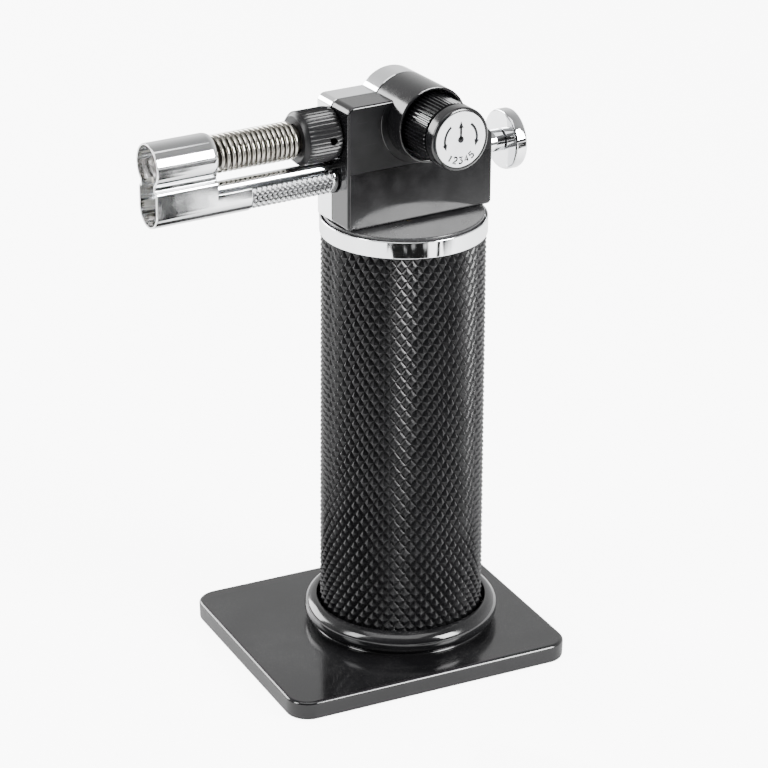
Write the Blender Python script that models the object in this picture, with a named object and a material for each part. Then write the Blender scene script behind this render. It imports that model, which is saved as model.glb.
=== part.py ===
"""Pocket gas torch standing in its table stand.

Sizes are in millimetres and are turned into metres as each mesh is made.
+Z is up, the nozzle points along -X and the gas knob faces -Y.
The origin lies on the handle's axis, on the surface that the stand rests on.
"""
import math

import bmesh
import bpy
from mathutils import Matrix, Vector

MM = 0.001
GAP = 0.3             # clearance between pieces that seat on each other
CUT = 1.0             # how far a cutter reaches past the surface it opens
BIG = 32              # sides of the widest round pieces

# --- stand ---------------------------------------------------------------
STAND_LENGTH = 71.5
STAND_WIDTH = 60.9
STAND_TOP = 4.9       # height of the plate's upper face
STAND_CORNER = 5.5
STAND_SHIFT = -5.7    # the plate reaches further out under the nozzle
STAND_TURN = math.radians(-4.9)   # the torch is set down slightly turned
STAND_EDGE = 0.45     # chamfer round the plate
PAD_THICK = 0.8
PAD_PROUD = 0.4       # the pad stands this far out of its recess
PAD_INSET = 3.0
SOCKET_FLOOR = 3.0
SOCKET_RIM = 10.85
SOCKET_WALL = 0.9     # wall at the rim's inner edge
SOCKET_GAP = 0.6      # play round the handle's foot

# --- handle --------------------------------------------------------------
FOOT_R = 19.45        # the handle flares slightly towards its foot
NECK_R = 19.0
SLEEVE_WALL = 1.2
FOOT_RING_TALL = 4.0
FOOT_LIP_TALL = 2.2   # the ring's lip inside the sleeve
FOOT_PLATE_THICK = 2.2
SLEEVE_TOP = 103.4
COLLAR_R = 19.2
COLLAR_TALL = 4.0
DECK_R = 18.5
DECK_TOP = 108.1
DECK_RIM_THICK = 2.6
TANK_R = 16.0
TANK_WALL = 1.2
TANK_TOP = 95.0
CAP_PLUG_DEEP = 7.0
CAP_FLANGE_THICK = 2.7
SEAL_WIRE = 0.6

# --- filling valve in the foot -------------------------------------------
FILL_BODY_R = 4.0
FILL_BODY_TALL = 7.8
FILL_STEM_R = 1.0
FILL_TRAVEL = 1.2
FILL_FLANGE_R = 5.8

# --- head ----------------------------------------------------------------
HEAD_BACK_X = 18.9    # the head reaches as far to the front, at -HEAD_BACK_X
HEAD_BOTTOM = 108.5
HEAD_TOP = 137.2
HEAD_REAR_TOP = 125.5
HEAD_NEAR = -7.3
HEAD_FAR = 6.5
HEAD_CORNER = 1.8
HEAD_WALL = 1.6
HEAD_SPLIT = 0.15     # half the joint between the two covers
HEAD_EDGE = 0.4
KNOB_X = -0.3
KNOB_Z = 132.0
BOSS_R = 8.7
SHROUD_RIM = -12.6
SHROUD_WALL = 0.65
SHROUD_FLOOR = -7.6

# --- gas valve and knob --------------------------------------------------
VALVE_NECK_R = 3.4
VALVE_BOTTOM = 84.0
VALVE_FLANGE_R = 7.0
VALVE_FLANGE_THICK = 2.4
BLOCK_FRONT = -4.8
BLOCK_REAR = 3.2
BLOCK_NEAR = -3.4
BLOCK_FAR = 3.4
BLOCK_TOP = 136.4
NUT_R = 5.2
NUT_TALL = 2.2
SPINDLE_R = 1.6
SPINDLE_HEAD_R = 2.3
NEEDLE_R = 0.9
KNOB_R = 7.2
KNOB_FACE = -24.1
KNOB_BACK = -8.3
CAP_TALL = 4.0
KNOB_GROOVE = 0.8
LABEL_R = 6.3
LABEL_THICK = 0.2
LABEL_SINK = 0.4      # depth of the label's recess
PICKUP_R = 1.2
PICKUP_CLEAR = 2.0    # the pickup tube stops this far above the filling valve

# --- burner --------------------------------------------------------------
BURNER_Z = 129.8
BURNER_R = 3.1
BURNER_WALL = 0.55
BURNER_FRONT = -52.0
BURNER_REAR = -14.5
AIR_COLLAR_R = 6.1
AIR_COLLAR_FRONT = -28.4
AIR_COLLAR_REAR = -19.3
AIR_HOLE_R = 0.9
AIR_HOLE_X = -21.6
SPRING_WIRE = 0.45    # wire radius
SPRING_TURNS = 15
GUARD_FRONT = -64.3
GUARD_REAR = -49.3
GUARD_R = 5.1
GUARD_WALL = 0.5
GUARD_NECK = 3.3      # half the width of the waist between the two lobes
CHANNEL_R = 4.2
CHANNEL_Z = 119.9
CHANNEL_REAR = -41.0
CHANNEL_SHOULDER = 125.0
ARM_R = 4.0
ARM_WALL = 0.6
ARM_TOP = 121.6
ARM_END = -19.3
ARM_TONGUE = 5.0      # how far the arm reaches into the guard
TANG_HALF = 1.5
TANG_TOP = 118.5
TANG_REAR = -15.0
BULKHEAD_TOP = 119.3
TIP_FRONT = -58.0
TIP_R = 3.8
JET_R = 2.2
JET_NOSE = -17.0

# --- igniter -------------------------------------------------------------
CONDUIT_R = 1.7
CONDUIT_WALL = 0.45
CONDUIT_Z = 121.7
CONDUIT_FRONT = -50.0
CONDUIT_REAR = -13.5
INSULATOR_R = 0.95
PIN_R = 0.35
BUTTON_Z = 120.5
BUTTON_R = 7.0
BUTTON_BACK = 25.7
BUTTON_RIM = 3.0
BUTTON_DOME = 1.2
PLUNGER_R = 2.6
PLUNGER_END = 13.3
IGNITER_TRAVEL = 4.0
PIEZO_R = 4.4
PIEZO_FRONT = 5.6
PIEZO_REAR = 16.9
PIEZO_FLOOR = 7.0
WIRE_R = 0.4

# --- screws that close the head ------------------------------------------
SCREW_R = 0.9
SCREW_HEAD_R = 1.8
SCREW_HEAD_DEEP = 1.3
POST_R = 2.3
SCREW_PLACES = {"front": (-14.8, 112.7), "rear": (14.8, 112.7), "top": (10.6, 129.2)}

# --- sizes that follow from the ones above -------------------------------
TORCH_FOOT = SOCKET_FLOOR + GAP
RING_TOP = TORCH_FOOT + FOOT_RING_TALL
SLEEVE_BOTTOM = RING_TOP + GAP
SLEEVE_IN = NECK_R - SLEEVE_WALL
TANK_FLOOR = TORCH_FOOT + 0.6 + FOOT_PLATE_THICK + GAP
TANK_IN = TANK_R - TANK_WALL
COLLAR_TOP = SLEEVE_TOP + COLLAR_TALL
CAP_TOP = TANK_TOP + GAP + CAP_FLANGE_THICK
BLOCK_BOTTOM = HEAD_BOTTOM + HEAD_WALL + NUT_TALL + 2 * GAP
BURNER_IN = BURNER_R - BURNER_WALL
PICKUP_BOTTOM = TORCH_FOOT + 0.9 + FILL_BODY_TALL + PICKUP_CLEAR
COIL_R = BURNER_R + GAP + SPRING_WIRE

FINISHES = {
    "black_plastic": ((0.012, 0.012, 0.013), 0.28, 0.0),
    "black_rubber": ((0.02, 0.02, 0.02), 0.8, 0.0),
    "black_anodised": ((0.02, 0.02, 0.022), 0.35, 0.8),
    "chrome": ((0.78, 0.79, 0.80), 0.08, 1.0),
    "steel": ((0.55, 0.55, 0.53), 0.28, 1.0),
    "brass": ((0.72, 0.52, 0.2), 0.3, 1.0),
    "tank_plastic": ((0.55, 0.57, 0.6), 0.4, 0.0),
    "seal_rubber": ((0.03, 0.03, 0.03), 0.7, 0.0),
    "ceramic": ((0.85, 0.83, 0.78), 0.35, 0.0),
    "label": ((0.8, 0.8, 0.79), 0.45, 0.0),
    "red_wire": ((0.45, 0.03, 0.02), 0.45, 0.0),
}


def finish(name):
    """Return the named material, making it the first time."""
    if name in bpy.data.materials:
        return bpy.data.materials[name]
    color, roughness, metallic = FINISHES[name]
    material = bpy.data.materials.new(name)
    material.use_nodes = True
    shader = material.node_tree.nodes["Principled BSDF"]
    shader.inputs["Base Color"].default_value = (*color, 1.0)
    shader.inputs["Roughness"].default_value = roughness
    shader.inputs["Metallic"].default_value = metallic
    return material


def pivot(name, place, parent=None):
    """Make the empty that carries the pieces of one moving body."""
    empty = bpy.data.objects.new(name, None)
    empty.empty_display_size = 0.005
    empty.location = Vector(place) * MM
    if parent:
        empty.parent = parent
        empty.location = empty.location - parent.matrix_world.translation
    bpy.context.collection.objects.link(empty)
    bpy.context.view_layer.update()
    return empty


def add_object(name, data, material, parent):
    """Link an object whose data is in world coordinates under its body."""
    item = bpy.data.objects.new(name, data)
    item.data.materials.append(finish(material))
    if parent:
        shift = parent.matrix_world.translation
        item.data.transform(Matrix.Translation(-shift))
        item.parent = parent
    bpy.context.collection.objects.link(item)
    return item


def mesh_object(name, bm, material, parent=None, smooth=True):
    """Turn a bmesh in millimetres into an object in metres."""
    bmesh.ops.remove_doubles(bm, verts=bm.verts, dist=1e-4)
    bmesh.ops.recalc_face_normals(bm, faces=bm.faces)
    bmesh.ops.scale(bm, vec=(MM, MM, MM), verts=bm.verts)
    mesh = bpy.data.meshes.new(name)
    bm.to_mesh(mesh)
    bm.free()
    if smooth:
        mesh.shade_smooth()
        mesh.set_sharp_from_angle(angle=math.radians(35))
    return add_object(name, mesh, material, parent)


def to_space(axis, along, across):
    """Place a point given along an axis and across it, in X, Y, Z order."""
    u, v = across
    return {"X": (along, u, v), "Y": (u, along, v), "Z": (u, v, along)}[axis]


def turned(name, profile, axis, centre, material, parent=None, steps=24):
    """Spin a (radius, position) profile about an axis through centre."""
    bm = bmesh.new()
    points = [to_space(axis, h, (centre[0] + r, centre[1])) for r, h in profile]
    verts = [bm.verts.new(p) for p in points]
    closed = min(r for r, h in profile) > 0
    count = len(verts)
    ends = zip(range(count), range(1, count + 1)) if closed else zip(range(count - 1), range(1, count))
    edges = [bm.edges.new((verts[a], verts[b % count])) for a, b in ends]
    bmesh.ops.spin(
        bm, geom=verts + edges, cent=to_space(axis, 0, centre), axis=to_space(axis, 1, (0, 0)),
        angle=math.tau, steps=steps, use_merge=True)
    return mesh_object(name, bm, material, parent)


def extruded(name, outline, axis, start, end, material, parent=None):
    """Extrude a flat outline from start to end along an axis."""
    bm = bmesh.new()
    face = bm.faces.new([bm.verts.new(to_space(axis, start, p)) for p in outline])
    grown = bmesh.ops.extrude_face_region(bm, geom=[face])
    moved = [v for v in grown["geom"] if isinstance(v, bmesh.types.BMVert)]
    bmesh.ops.translate(bm, verts=moved, vec=to_space(axis, end - start, (0, 0)))
    return mesh_object(name, bm, material, parent)


def combine(target, tool, operation):
    """Join a tool to a piece, or cut it away, with a live Boolean."""
    tool.hide_render = True
    tool.display_type = "WIRE"
    boolean = target.modifiers.new(tool.name, "BOOLEAN")
    boolean.operation = operation
    boolean.solver = "EXACT"
    boolean.object = tool


def join_on(target, tool):
    combine(target, tool, "UNION")


def cut_out(target, tool):
    combine(target, tool, "DIFFERENCE")


def rod(name, radius, axis, centre, start, end, steps=20, parent=None, material="steel"):
    """Make a plain round rod."""
    profile = [(0, start), (radius, start), (radius, end), (0, end)]
    return turned(name, profile, axis, centre, material, parent, steps)


def pipe(name, outer, inner, axis, centre, start, end, material, parent, steps=20):
    """Make a plain round tube."""
    profile = [(inner, start), (outer, start), (outer, end), (inner, end)]
    return turned(name, profile, axis, centre, material, parent, steps)


def o_ring(name, radius, wire, axis, centre, at, parent, material="seal_rubber", steps=16):
    """Make a ring of round section."""
    angles = [math.tau * i / 6 for i in range(6)]
    profile = [(radius + wire * math.cos(a), at + wire * math.sin(a)) for a in angles]
    return turned(name, profile, axis, centre, material, parent, steps)


def arc(centre, radius, first, last, steps):
    """List the points of an arc, with angles in degrees."""
    points = []
    for i in range(steps + 1):
        a = math.radians(first + (last - first) * i / steps)
        points.append((centre[0] + radius * math.cos(a), centre[1] + radius * math.sin(a)))
    return points


def rounded_rectangle(length, width, corner, shift=(0.0, 0.0), steps=4):
    """List the outline of a rectangle with round corners."""
    points = []
    for sx, sy, first in ((1, 1, 0), (-1, 1, 90), (-1, -1, 180), (1, -1, 270)):
        centre = (shift[0] + sx * (length / 2 - corner), shift[1] + sy * (width / 2 - corner))
        points += arc(centre, corner, first, first + 90, steps)
    return points


def swept(name, path, radius, sides, material, parent=None):
    """Sweep a round wire along a list of points."""
    curve = bpy.data.curves.new(name, "CURVE")
    curve.dimensions = "3D"
    curve.bevel_depth = radius * MM
    curve.bevel_resolution = sides
    curve.use_fill_caps = True
    spline = curve.splines.new("POLY")
    spline.points.add(len(path) - 1)
    for point, place in zip(spline.points, path):
        point.co = (place[0] * MM, place[1] * MM, place[2] * MM, 1.0)
    return add_object(name, curve, material, parent)


def smooth_path(knots, steps):
    """List points of a smooth curve that passes through the knots."""
    knots = [Vector(k) for k in knots]
    padded = [2 * knots[0] - knots[1]] + knots + [2 * knots[-1] - knots[-2]]
    path = []
    for i in range(1, len(padded) - 2):
        before, here, there, after = padded[i - 1:i + 3]
        for j in range(steps):
            t = j / steps
            path.append(0.5 * (2 * here + (there - before) * t
                        + (2 * before - 5 * here + 4 * there - after) * t ** 2
                        + (3 * here - before - 3 * there + after) * t ** 3))
    return path + [knots[-1]]


def coil_path(radius, axis, centre, start, end, turns, per_turn):
    """List the points of a helix between two positions on its axis."""
    path = []
    total = turns * per_turn
    for i in range(total + 1):
        a = math.tau * i / per_turn
        across = (centre[0] + radius * math.cos(a), centre[1] + radius * math.sin(a))
        path.append(to_space(axis, start + (end - start) * i / total, across))
    return path


# --- stand ---------------------------------------------------------------
def stand_plate_outline(inset):
    return rounded_rectangle(STAND_LENGTH - 2 * inset, STAND_WIDTH - 2 * inset,
                             STAND_CORNER - min(inset, STAND_CORNER - 1.0), (STAND_SHIFT, 0))


def turn_stand(item):
    item.data.transform(Matrix.Rotation(STAND_TURN, 4, "Z"))


def stand_base():
    bottom = PAD_PROUD
    plate = extruded("stand_base", stand_plate_outline(0), "Z", bottom, STAND_TOP, "black_plastic")
    edge = plate.modifiers.new("edge", "BEVEL")
    edge.width = STAND_EDGE * MM
    edge.segments = 1
    edge.limit_method = "ANGLE"
    edge.angle_limit = math.radians(50)
    turn_stand(plate)
    inner = FOOT_R + SOCKET_GAP
    bead = inner + SOCKET_WALL + 1.2
    profile = [(0, STAND_TOP - 1.0), (bead + 3.4, STAND_TOP - 1.0), (bead + 3.4, STAND_TOP + 0.05)]
    profile += arc((bead + 3.0, STAND_TOP + 2.6), 2.55, 262, 190, 3)
    profile += arc((bead - 1.4, SOCKET_RIM - 2.9), 2.9, 6, 90, 4)
    profile += [(inner + 0.25, SOCKET_RIM - 0.25), (inner - 1.0, SOCKET_RIM - 0.6), (0, SOCKET_RIM - 0.6)]
    join_on(plate, turned("stand_socket_rim", profile, "Z", (0, 0), "black_plastic", steps=BIG))
    cut_out(plate, rod("stand_socket_bore", inner, "Z", (0, 0), SOCKET_FLOOR, SOCKET_RIM + CUT, BIG))
    recess = extruded("stand_pad_recess", stand_plate_outline(PAD_INSET - GAP), "Z",
                      bottom - CUT, PAD_THICK + GAP, "black_plastic")
    turn_stand(recess)
    cut_out(plate, recess)


def stand_pad():
    pad = extruded("stand_pad", stand_plate_outline(PAD_INSET), "Z", 0, PAD_THICK, "black_rubber")
    turn_stand(pad)


# --- handle --------------------------------------------------------------
def foot_ring(parent):
    lip_out = SLEEVE_IN - GAP
    inner = TANK_R + GAP
    top = RING_TOP + FOOT_LIP_TALL
    profile = [(inner, TORCH_FOOT), (FOOT_R - 0.4, TORCH_FOOT), (FOOT_R, TORCH_FOOT + 0.4),
               (FOOT_R, RING_TOP - 0.3), (FOOT_R - 0.3, RING_TOP), (lip_out, RING_TOP),
               (lip_out, top), (inner, top)]
    turned("foot_ring", profile, "Z", (0, 0), "chrome", parent, BIG)


def foot_plate(parent):
    low = TORCH_FOOT + 0.6
    profile = [(FILL_BODY_R + GAP, low + 0.6), (FILL_BODY_R + 2.4, low), (TANK_R - 0.8, low),
               (TANK_R, low + 0.8), (TANK_R, low + FOOT_PLATE_THICK),
               (FILL_BODY_R + GAP, low + FOOT_PLATE_THICK)]
    turned("foot_plate", profile, "Z", (0, 0), "black_plastic", parent, BIG)


def grip_sleeve(parent):
    profile = [(SLEEVE_IN, SLEEVE_BOTTOM), (FOOT_R - 0.3, SLEEVE_BOTTOM), (FOOT_R, SLEEVE_BOTTOM + 0.3),
               (NECK_R, SLEEVE_TOP - GAP), (SLEEVE_IN, SLEEVE_TOP - GAP)]
    turned("grip_sleeve", profile, "Z", (0, 0), "black_anodised", parent, BIG)


def collar_ring(parent):
    ledge = SLEEVE_TOP + 1.4
    profile = [(SLEEVE_IN, SLEEVE_TOP), (COLLAR_R, SLEEVE_TOP), (COLLAR_R, COLLAR_TOP - 0.25),
               (COLLAR_R - 0.2, COLLAR_TOP), (DECK_R + GAP, COLLAR_TOP), (DECK_R + GAP, ledge),
               (SLEEVE_IN, ledge)]
    turned("collar_ring", profile, "Z", (0, 0), "chrome", parent, BIG)


def head_deck(parent):
    ledge = DECK_TOP - DECK_RIM_THICK
    step = SLEEVE_TOP + 1.4 + GAP
    hole = VALVE_NECK_R + GAP
    low = CAP_TOP + GAP + VALVE_FLANGE_THICK + GAP
    skirt = SLEEVE_IN - GAP
    profile = [(hole, low), (skirt, low), (skirt, step), (DECK_R, step), (DECK_R, max(ledge, step + 1)),
               (DECK_R, DECK_TOP - 0.4), (DECK_R - 0.4, DECK_TOP), (hole, DECK_TOP)]
    turned("head_deck", profile, "Z", (0, 0), "black_plastic", parent, BIG)


def fuel_tank(parent):
    hole = FILL_BODY_R + GAP
    inside = TANK_FLOOR + TANK_WALL
    profile = [(hole, TANK_FLOOR), (TANK_R, TANK_FLOOR), (TANK_R, TANK_TOP), (TANK_IN, TANK_TOP),
               (TANK_IN, inside), (hole, inside)]
    turned("fuel_tank", profile, "Z", (0, 0), "tank_plastic", parent, 28)


def tank_cap(parent):
    plug = TANK_IN - GAP
    low = TANK_TOP - CAP_PLUG_DEEP
    under = TANK_TOP + GAP
    hole = VALVE_NECK_R + GAP
    groove_low = low + 2.0
    groove_high = groove_low + 2 * (SEAL_WIRE + GAP)
    groove_in = plug - 2 * SEAL_WIRE - GAP
    flange = SLEEVE_IN - GAP
    profile = [(hole, low), (plug, low), (plug, groove_low), (groove_in, groove_low),
               (groove_in, groove_high), (plug, groove_high), (plug, under), (flange, under),
               (flange, CAP_TOP), (hole, CAP_TOP)]
    turned("tank_cap", profile, "Z", (0, 0), "tank_plastic", parent, 28)
    middle = (groove_low + groove_high) / 2
    o_ring("tank_seal", plug - SEAL_WIRE, SEAL_WIRE, "Z", (0, 0), middle, parent, steps=28)


# --- filling valve -------------------------------------------------------
def fill_valve(torch, moving):
    low = TORCH_FOOT + 0.9
    top = low + FILL_BODY_TALL
    bore = 2.0
    entry = FILL_STEM_R + GAP
    seat = low + 1.4
    roof = top - 0.8
    flange = TANK_FLOOR + TANK_WALL + 1.2
    profile = [(entry, low), (FILL_BODY_R, low), (FILL_BODY_R, flange), (FILL_FLANGE_R, flange),
               (FILL_FLANGE_R, flange + 1.0), (FILL_BODY_R, flange + 1.0), (FILL_BODY_R, top),
               (0.6, top), (0.6, roof), (bore, roof), (bore, seat), (entry, seat)]
    turned("fill_valve_body", profile, "Z", (0, 0), "brass", torch, 24)
    o_ring("fill_valve_seal", FILL_BODY_R + GAP + 0.3, 0.3, "Z", (0, 0), flange - 0.6, torch)
    head = seat + GAP
    stem = [(0, low + 0.2), (FILL_STEM_R, low + 0.2), (FILL_STEM_R, head), (bore - GAP, head),
            (bore - GAP, head + 0.9), (0.5, head + 0.9), (0.5, head + 1.6), (0, head + 1.6)]
    turned("fill_valve_stem", stem, "Z", (0, 0), "brass", moving, 16)
    wire = 0.2
    path = coil_path(1.25, "Z", (0, 0), head + 0.9 + GAP + wire, roof - GAP - wire, 4, 8)
    swept("fill_valve_spring", path, wire, 0, "steel", torch)


# --- gas valve -----------------------------------------------------------
def gas_valve(torch):
    bore = SPINDLE_HEAD_R + GAP
    flange = CAP_TOP + GAP
    profile = [(0, VALVE_BOTTOM), (VALVE_NECK_R, VALVE_BOTTOM), (VALVE_NECK_R, flange),
               (VALVE_FLANGE_R, flange), (VALVE_FLANGE_R, flange + VALVE_FLANGE_THICK),
               (VALVE_NECK_R, flange + VALVE_FLANGE_THICK), (VALVE_NECK_R, BLOCK_BOTTOM + 1.0),
               (0, BLOCK_BOTTOM + 1.0)]
    body = turned("gas_valve_body", profile, "Z", (0, 0), "brass", torch, 24)
    outline = [(BLOCK_FRONT, BLOCK_NEAR), (BLOCK_REAR, BLOCK_NEAR), (BLOCK_REAR, BLOCK_FAR),
               (BLOCK_FRONT, BLOCK_FAR)]
    join_on(body, extruded("valve_block", outline, "Z", BLOCK_BOTTOM, BLOCK_TOP, "brass", torch))
    centre = (KNOB_X, KNOB_Z)
    seat = [(0, BLOCK_NEAR - CUT), (bore, BLOCK_NEAR - CUT), (bore, 2.0), (NEEDLE_R + GAP, 2.2),
            (NEEDLE_R + GAP, BLOCK_FAR - 0.4), (0, BLOCK_FAR - 0.4)]
    cut_out(body, turned("valve_bore", seat, "Y", centre, "brass", torch, 20))
    cut_out(body, rod("pickup_bore", PICKUP_R + GAP, "Z", (0, 0), VALVE_BOTTOM - CUT,
                      VALVE_BOTTOM + 5.0, 16, torch))
    pipe("pickup_tube", PICKUP_R, PICKUP_R - 0.5, "Z", (0, 0), PICKUP_BOTTOM, VALVE_BOTTOM + 4.6,
         "tank_plastic", torch, 16)


def neck_nut(torch):
    low = HEAD_BOTTOM + HEAD_WALL + GAP
    nut = turned("neck_nut", [(0, low), (NUT_R, low), (NUT_R, low + NUT_TALL), (0, low + NUT_TALL)],
                 "Z", (0, 0), "brass", torch, 6)
    cut_out(nut, rod("nut_bore", VALVE_NECK_R + GAP, "Z", (0, 0), low - CUT, low + NUT_TALL + CUT,
                     24, torch))


def spindle(knob):
    groove = -2.2
    profile = [(0, KNOB_FACE + 2.9), (SPINDLE_R, KNOB_FACE + 2.9), (SPINDLE_R, -3.0),
               (SPINDLE_HEAD_R, -3.0), (SPINDLE_HEAD_R, groove), (1.3, groove), (1.3, groove + 1.3),
               (SPINDLE_HEAD_R, groove + 1.3), (SPINDLE_HEAD_R, 0.6), (0, 0.6)]
    turned("valve_spindle", profile, "Y", (KNOB_X, KNOB_Z), "brass", knob, 20)
    o_ring("valve_o_ring", SPINDLE_HEAD_R - 0.35, 0.35, "Y", (KNOB_X, KNOB_Z), groove + 0.65, knob,
           steps=20)


def needle(knob):
    head = 0.6 + GAP
    profile = [(0, head), (NEEDLE_R + 0.9, head), (NEEDLE_R + 0.9, head + 0.6), (NEEDLE_R, head + 0.6),
               (NEEDLE_R * 0.3, 2.7), (0, 2.7)]
    turned("valve_needle", profile, "Y", (KNOB_X, KNOB_Z), "steel", knob, 16)


def gas_knob(knob):
    groove_front = KNOB_FACE + CAP_TALL
    groove_back = groove_front + KNOB_GROOVE
    floor = KNOB_FACE + LABEL_SINK
    hole = SPINDLE_R + GAP
    bottom = KNOB_FACE + 2.9 - GAP
    profile = [(0, floor), (LABEL_R + 0.2, floor), (LABEL_R + 0.2, KNOB_FACE), (KNOB_R - 0.5, KNOB_FACE),
               (KNOB_R, KNOB_FACE + 0.6), (KNOB_R, groove_front), (KNOB_R - 0.6, groove_front),
               (KNOB_R - 0.6, groove_back), (KNOB_R, groove_back), (KNOB_R, KNOB_BACK - 0.4),
               (KNOB_R - 0.4, KNOB_BACK), (hole, KNOB_BACK), (hole, bottom), (0, bottom)]
    turned("gas_knob", profile, "Y", (KNOB_X, KNOB_Z), "black_plastic", knob, 28)
    rod("knob_label", LABEL_R, "Y", (KNOB_X, KNOB_Z), floor - 0.1 - LABEL_THICK, floor - 0.1, 28,
        knob, "label")


# --- head covers ---------------------------------------------------------
def head_outline(inset):
    """Outline the head in X and Z, with the knob's round boss on top."""
    low = HEAD_BOTTOM + inset
    back = HEAD_BACK_X - inset
    top = HEAD_TOP - inset
    boss = BOSS_R - inset
    corner = max(HEAD_CORNER - inset, 0.3)
    foot = max(1.0 - inset, 0.3)
    rear = HEAD_REAR_TOP - inset * 0.4
    centre = Vector((KNOB_X, KNOB_Z))
    reach = Vector((back, rear)) - centre
    lean = math.degrees(math.atan2(reach.y, reach.x) + math.acos(boss / reach.length))
    start = math.degrees(math.asin((top - KNOB_Z) / boss))
    points = arc((-back + foot, low + foot), foot, 270, 180, 3)
    points += arc((-back + corner, top - corner), corner, 180, 90, 3)
    points += arc(centre, boss, 180 - start, lean, 8)
    points += [(back, rear)]
    points += arc((back - foot, low + foot), foot, 0, -90, 3)
    return points


def tray(name, outside, inside, split, material, torch):
    """Make one hollow half of the head, open at the joint between the halves."""
    lean = math.copysign(1, split - outside)
    loops = [(HEAD_EDGE, outside), (0, outside + lean * HEAD_EDGE), (0, split), (HEAD_WALL, split),
             (HEAD_WALL, inside)]
    bm = bmesh.new()
    rings = []
    for inset, y in loops:
        rings.append([bm.verts.new((x, y, z)) for x, z in head_outline(inset)])
    bm.faces.new(rings[0])
    bm.faces.new(rings[-1])
    for ring, following in zip(rings, rings[1:]):
        for i in range(len(ring)):
            j = (i + 1) % len(ring)
            bm.faces.new((ring[i], ring[j], following[j], following[i]))
    return mesh_object(name, bm, material, torch)


def open_for_fittings(cover, tag, torch):
    """Cut the ways for neck, burner, conduit, arm and plunger."""
    wall = HEAD_WALL + 2 * CUT
    front = -HEAD_BACK_X - CUT
    cut_out(cover, rod(f"{tag}_neck_way", VALVE_NECK_R + GAP, "Z", (0, 0), HEAD_BOTTOM - CUT,
                       HEAD_BOTTOM + HEAD_WALL + 0.4, 24, torch))
    cut_out(cover, rod(f"{tag}_burner_way", BURNER_R + GAP, "X", (0, BURNER_Z), front, front + wall,
                       24, torch))
    cut_out(cover, rod(f"{tag}_conduit_way", CONDUIT_R + GAP, "X", (0, CONDUIT_Z), front, front + wall,
                       20, torch))
    cut_out(cover, rod(f"{tag}_plunger_way", PLUNGER_R + GAP, "X", (0, BUTTON_Z),
                       HEAD_BACK_X + CUT - wall, HEAD_BACK_X + CUT, 24, torch))
    half = TANG_HALF + GAP
    low = CHANNEL_Z - ARM_R - GAP
    slot = [(-half, low), (half, low), (half, TANG_TOP + GAP), (-half, TANG_TOP + GAP)]
    cut_out(cover, extruded(f"{tag}_arm_way", slot, "X", front, front + wall, "steel", torch))


def side_cover(torch):
    cover = tray("side_cover", HEAD_NEAR, HEAD_NEAR + HEAD_WALL, -HEAD_SPLIT, "black_plastic", torch)
    centre = (KNOB_X, KNOB_Z)
    join_on(cover, rod("shroud_outside", BOSS_R, "Y", centre, SHROUD_RIM, HEAD_NEAR + 0.9, 28, torch))
    cut_out(cover, rod("shroud_inside", BOSS_R - SHROUD_WALL, "Y", centre, SHROUD_RIM - CUT,
                       SHROUD_FLOOR, 28, torch))
    cut_out(cover, rod("spindle_way", SPINDLE_R + GAP, "Y", centre, SHROUD_FLOOR - CUT,
                       HEAD_NEAR + HEAD_WALL + CUT, 20, torch))
    root = HEAD_NEAR + HEAD_WALL
    pilot = SCREW_R + GAP
    for tag, place in SCREW_PLACES.items():
        profile = [(0, root - 0.9), (POST_R, root - 0.9), (POST_R, -2 * HEAD_SPLIT),
                   (pilot, -2 * HEAD_SPLIT), (pilot, root + 0.4), (0, root + 0.4)]
        join_on(cover, turned(f"side_post_{tag}", profile, "Y", place, "black_plastic", torch, 12))
    open_for_fittings(cover, "side", torch)


def back_cover(torch):
    cover = tray("back_cover", HEAD_FAR, HEAD_FAR - HEAD_WALL, HEAD_SPLIT, "chrome", torch)
    for tag, place in SCREW_PLACES.items():
        join_on(cover, rod(f"back_post_{tag}", POST_R, "Y", place, 2 * HEAD_SPLIT, HEAD_FAR - 0.7,
                           12, torch))
        sink = SCREW_HEAD_DEEP + GAP
        profile = [(0, -CUT), (SCREW_R + GAP, -CUT), (SCREW_R + GAP, HEAD_FAR - sink),
                   (SCREW_HEAD_R + GAP, HEAD_FAR - sink), (SCREW_HEAD_R + GAP, HEAD_FAR + CUT),
                   (0, HEAD_FAR + CUT)]
        cut_out(cover, turned(f"back_hole_{tag}", profile, "Y", place, "chrome", torch, 12))
    open_for_fittings(cover, "back", torch)


def cover_screw(tag, torch):
    place = SCREW_PLACES[tag]
    under = HEAD_FAR - SCREW_HEAD_DEEP
    top = HEAD_FAR - 0.1
    profile = [(0, HEAD_NEAR + HEAD_WALL + 0.9), (SCREW_R, HEAD_NEAR + HEAD_WALL + 1.4),
               (SCREW_R, under), (SCREW_HEAD_R, under), (SCREW_HEAD_R, top - 0.3),
               (SCREW_HEAD_R - 0.3, top), (0, top)]
    screw = turned(f"cover_screw_{tag}", profile, "Y", place, "steel", torch, 12)
    for turn in (0, 90):
        arm = Matrix.Rotation(math.radians(turn), 2)
        corners = [arm @ Vector(c) for c in ((-1.1, -0.22), (1.1, -0.22), (1.1, 0.22), (-1.1, 0.22))]
        slot = [(place[0] + c.x, place[1] + c.y) for c in corners]
        cut_out(screw, extruded(f"screw_slot_{tag}_{turn}", slot, "Y", top - 0.6, top + CUT, "steel",
                                torch))


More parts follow.
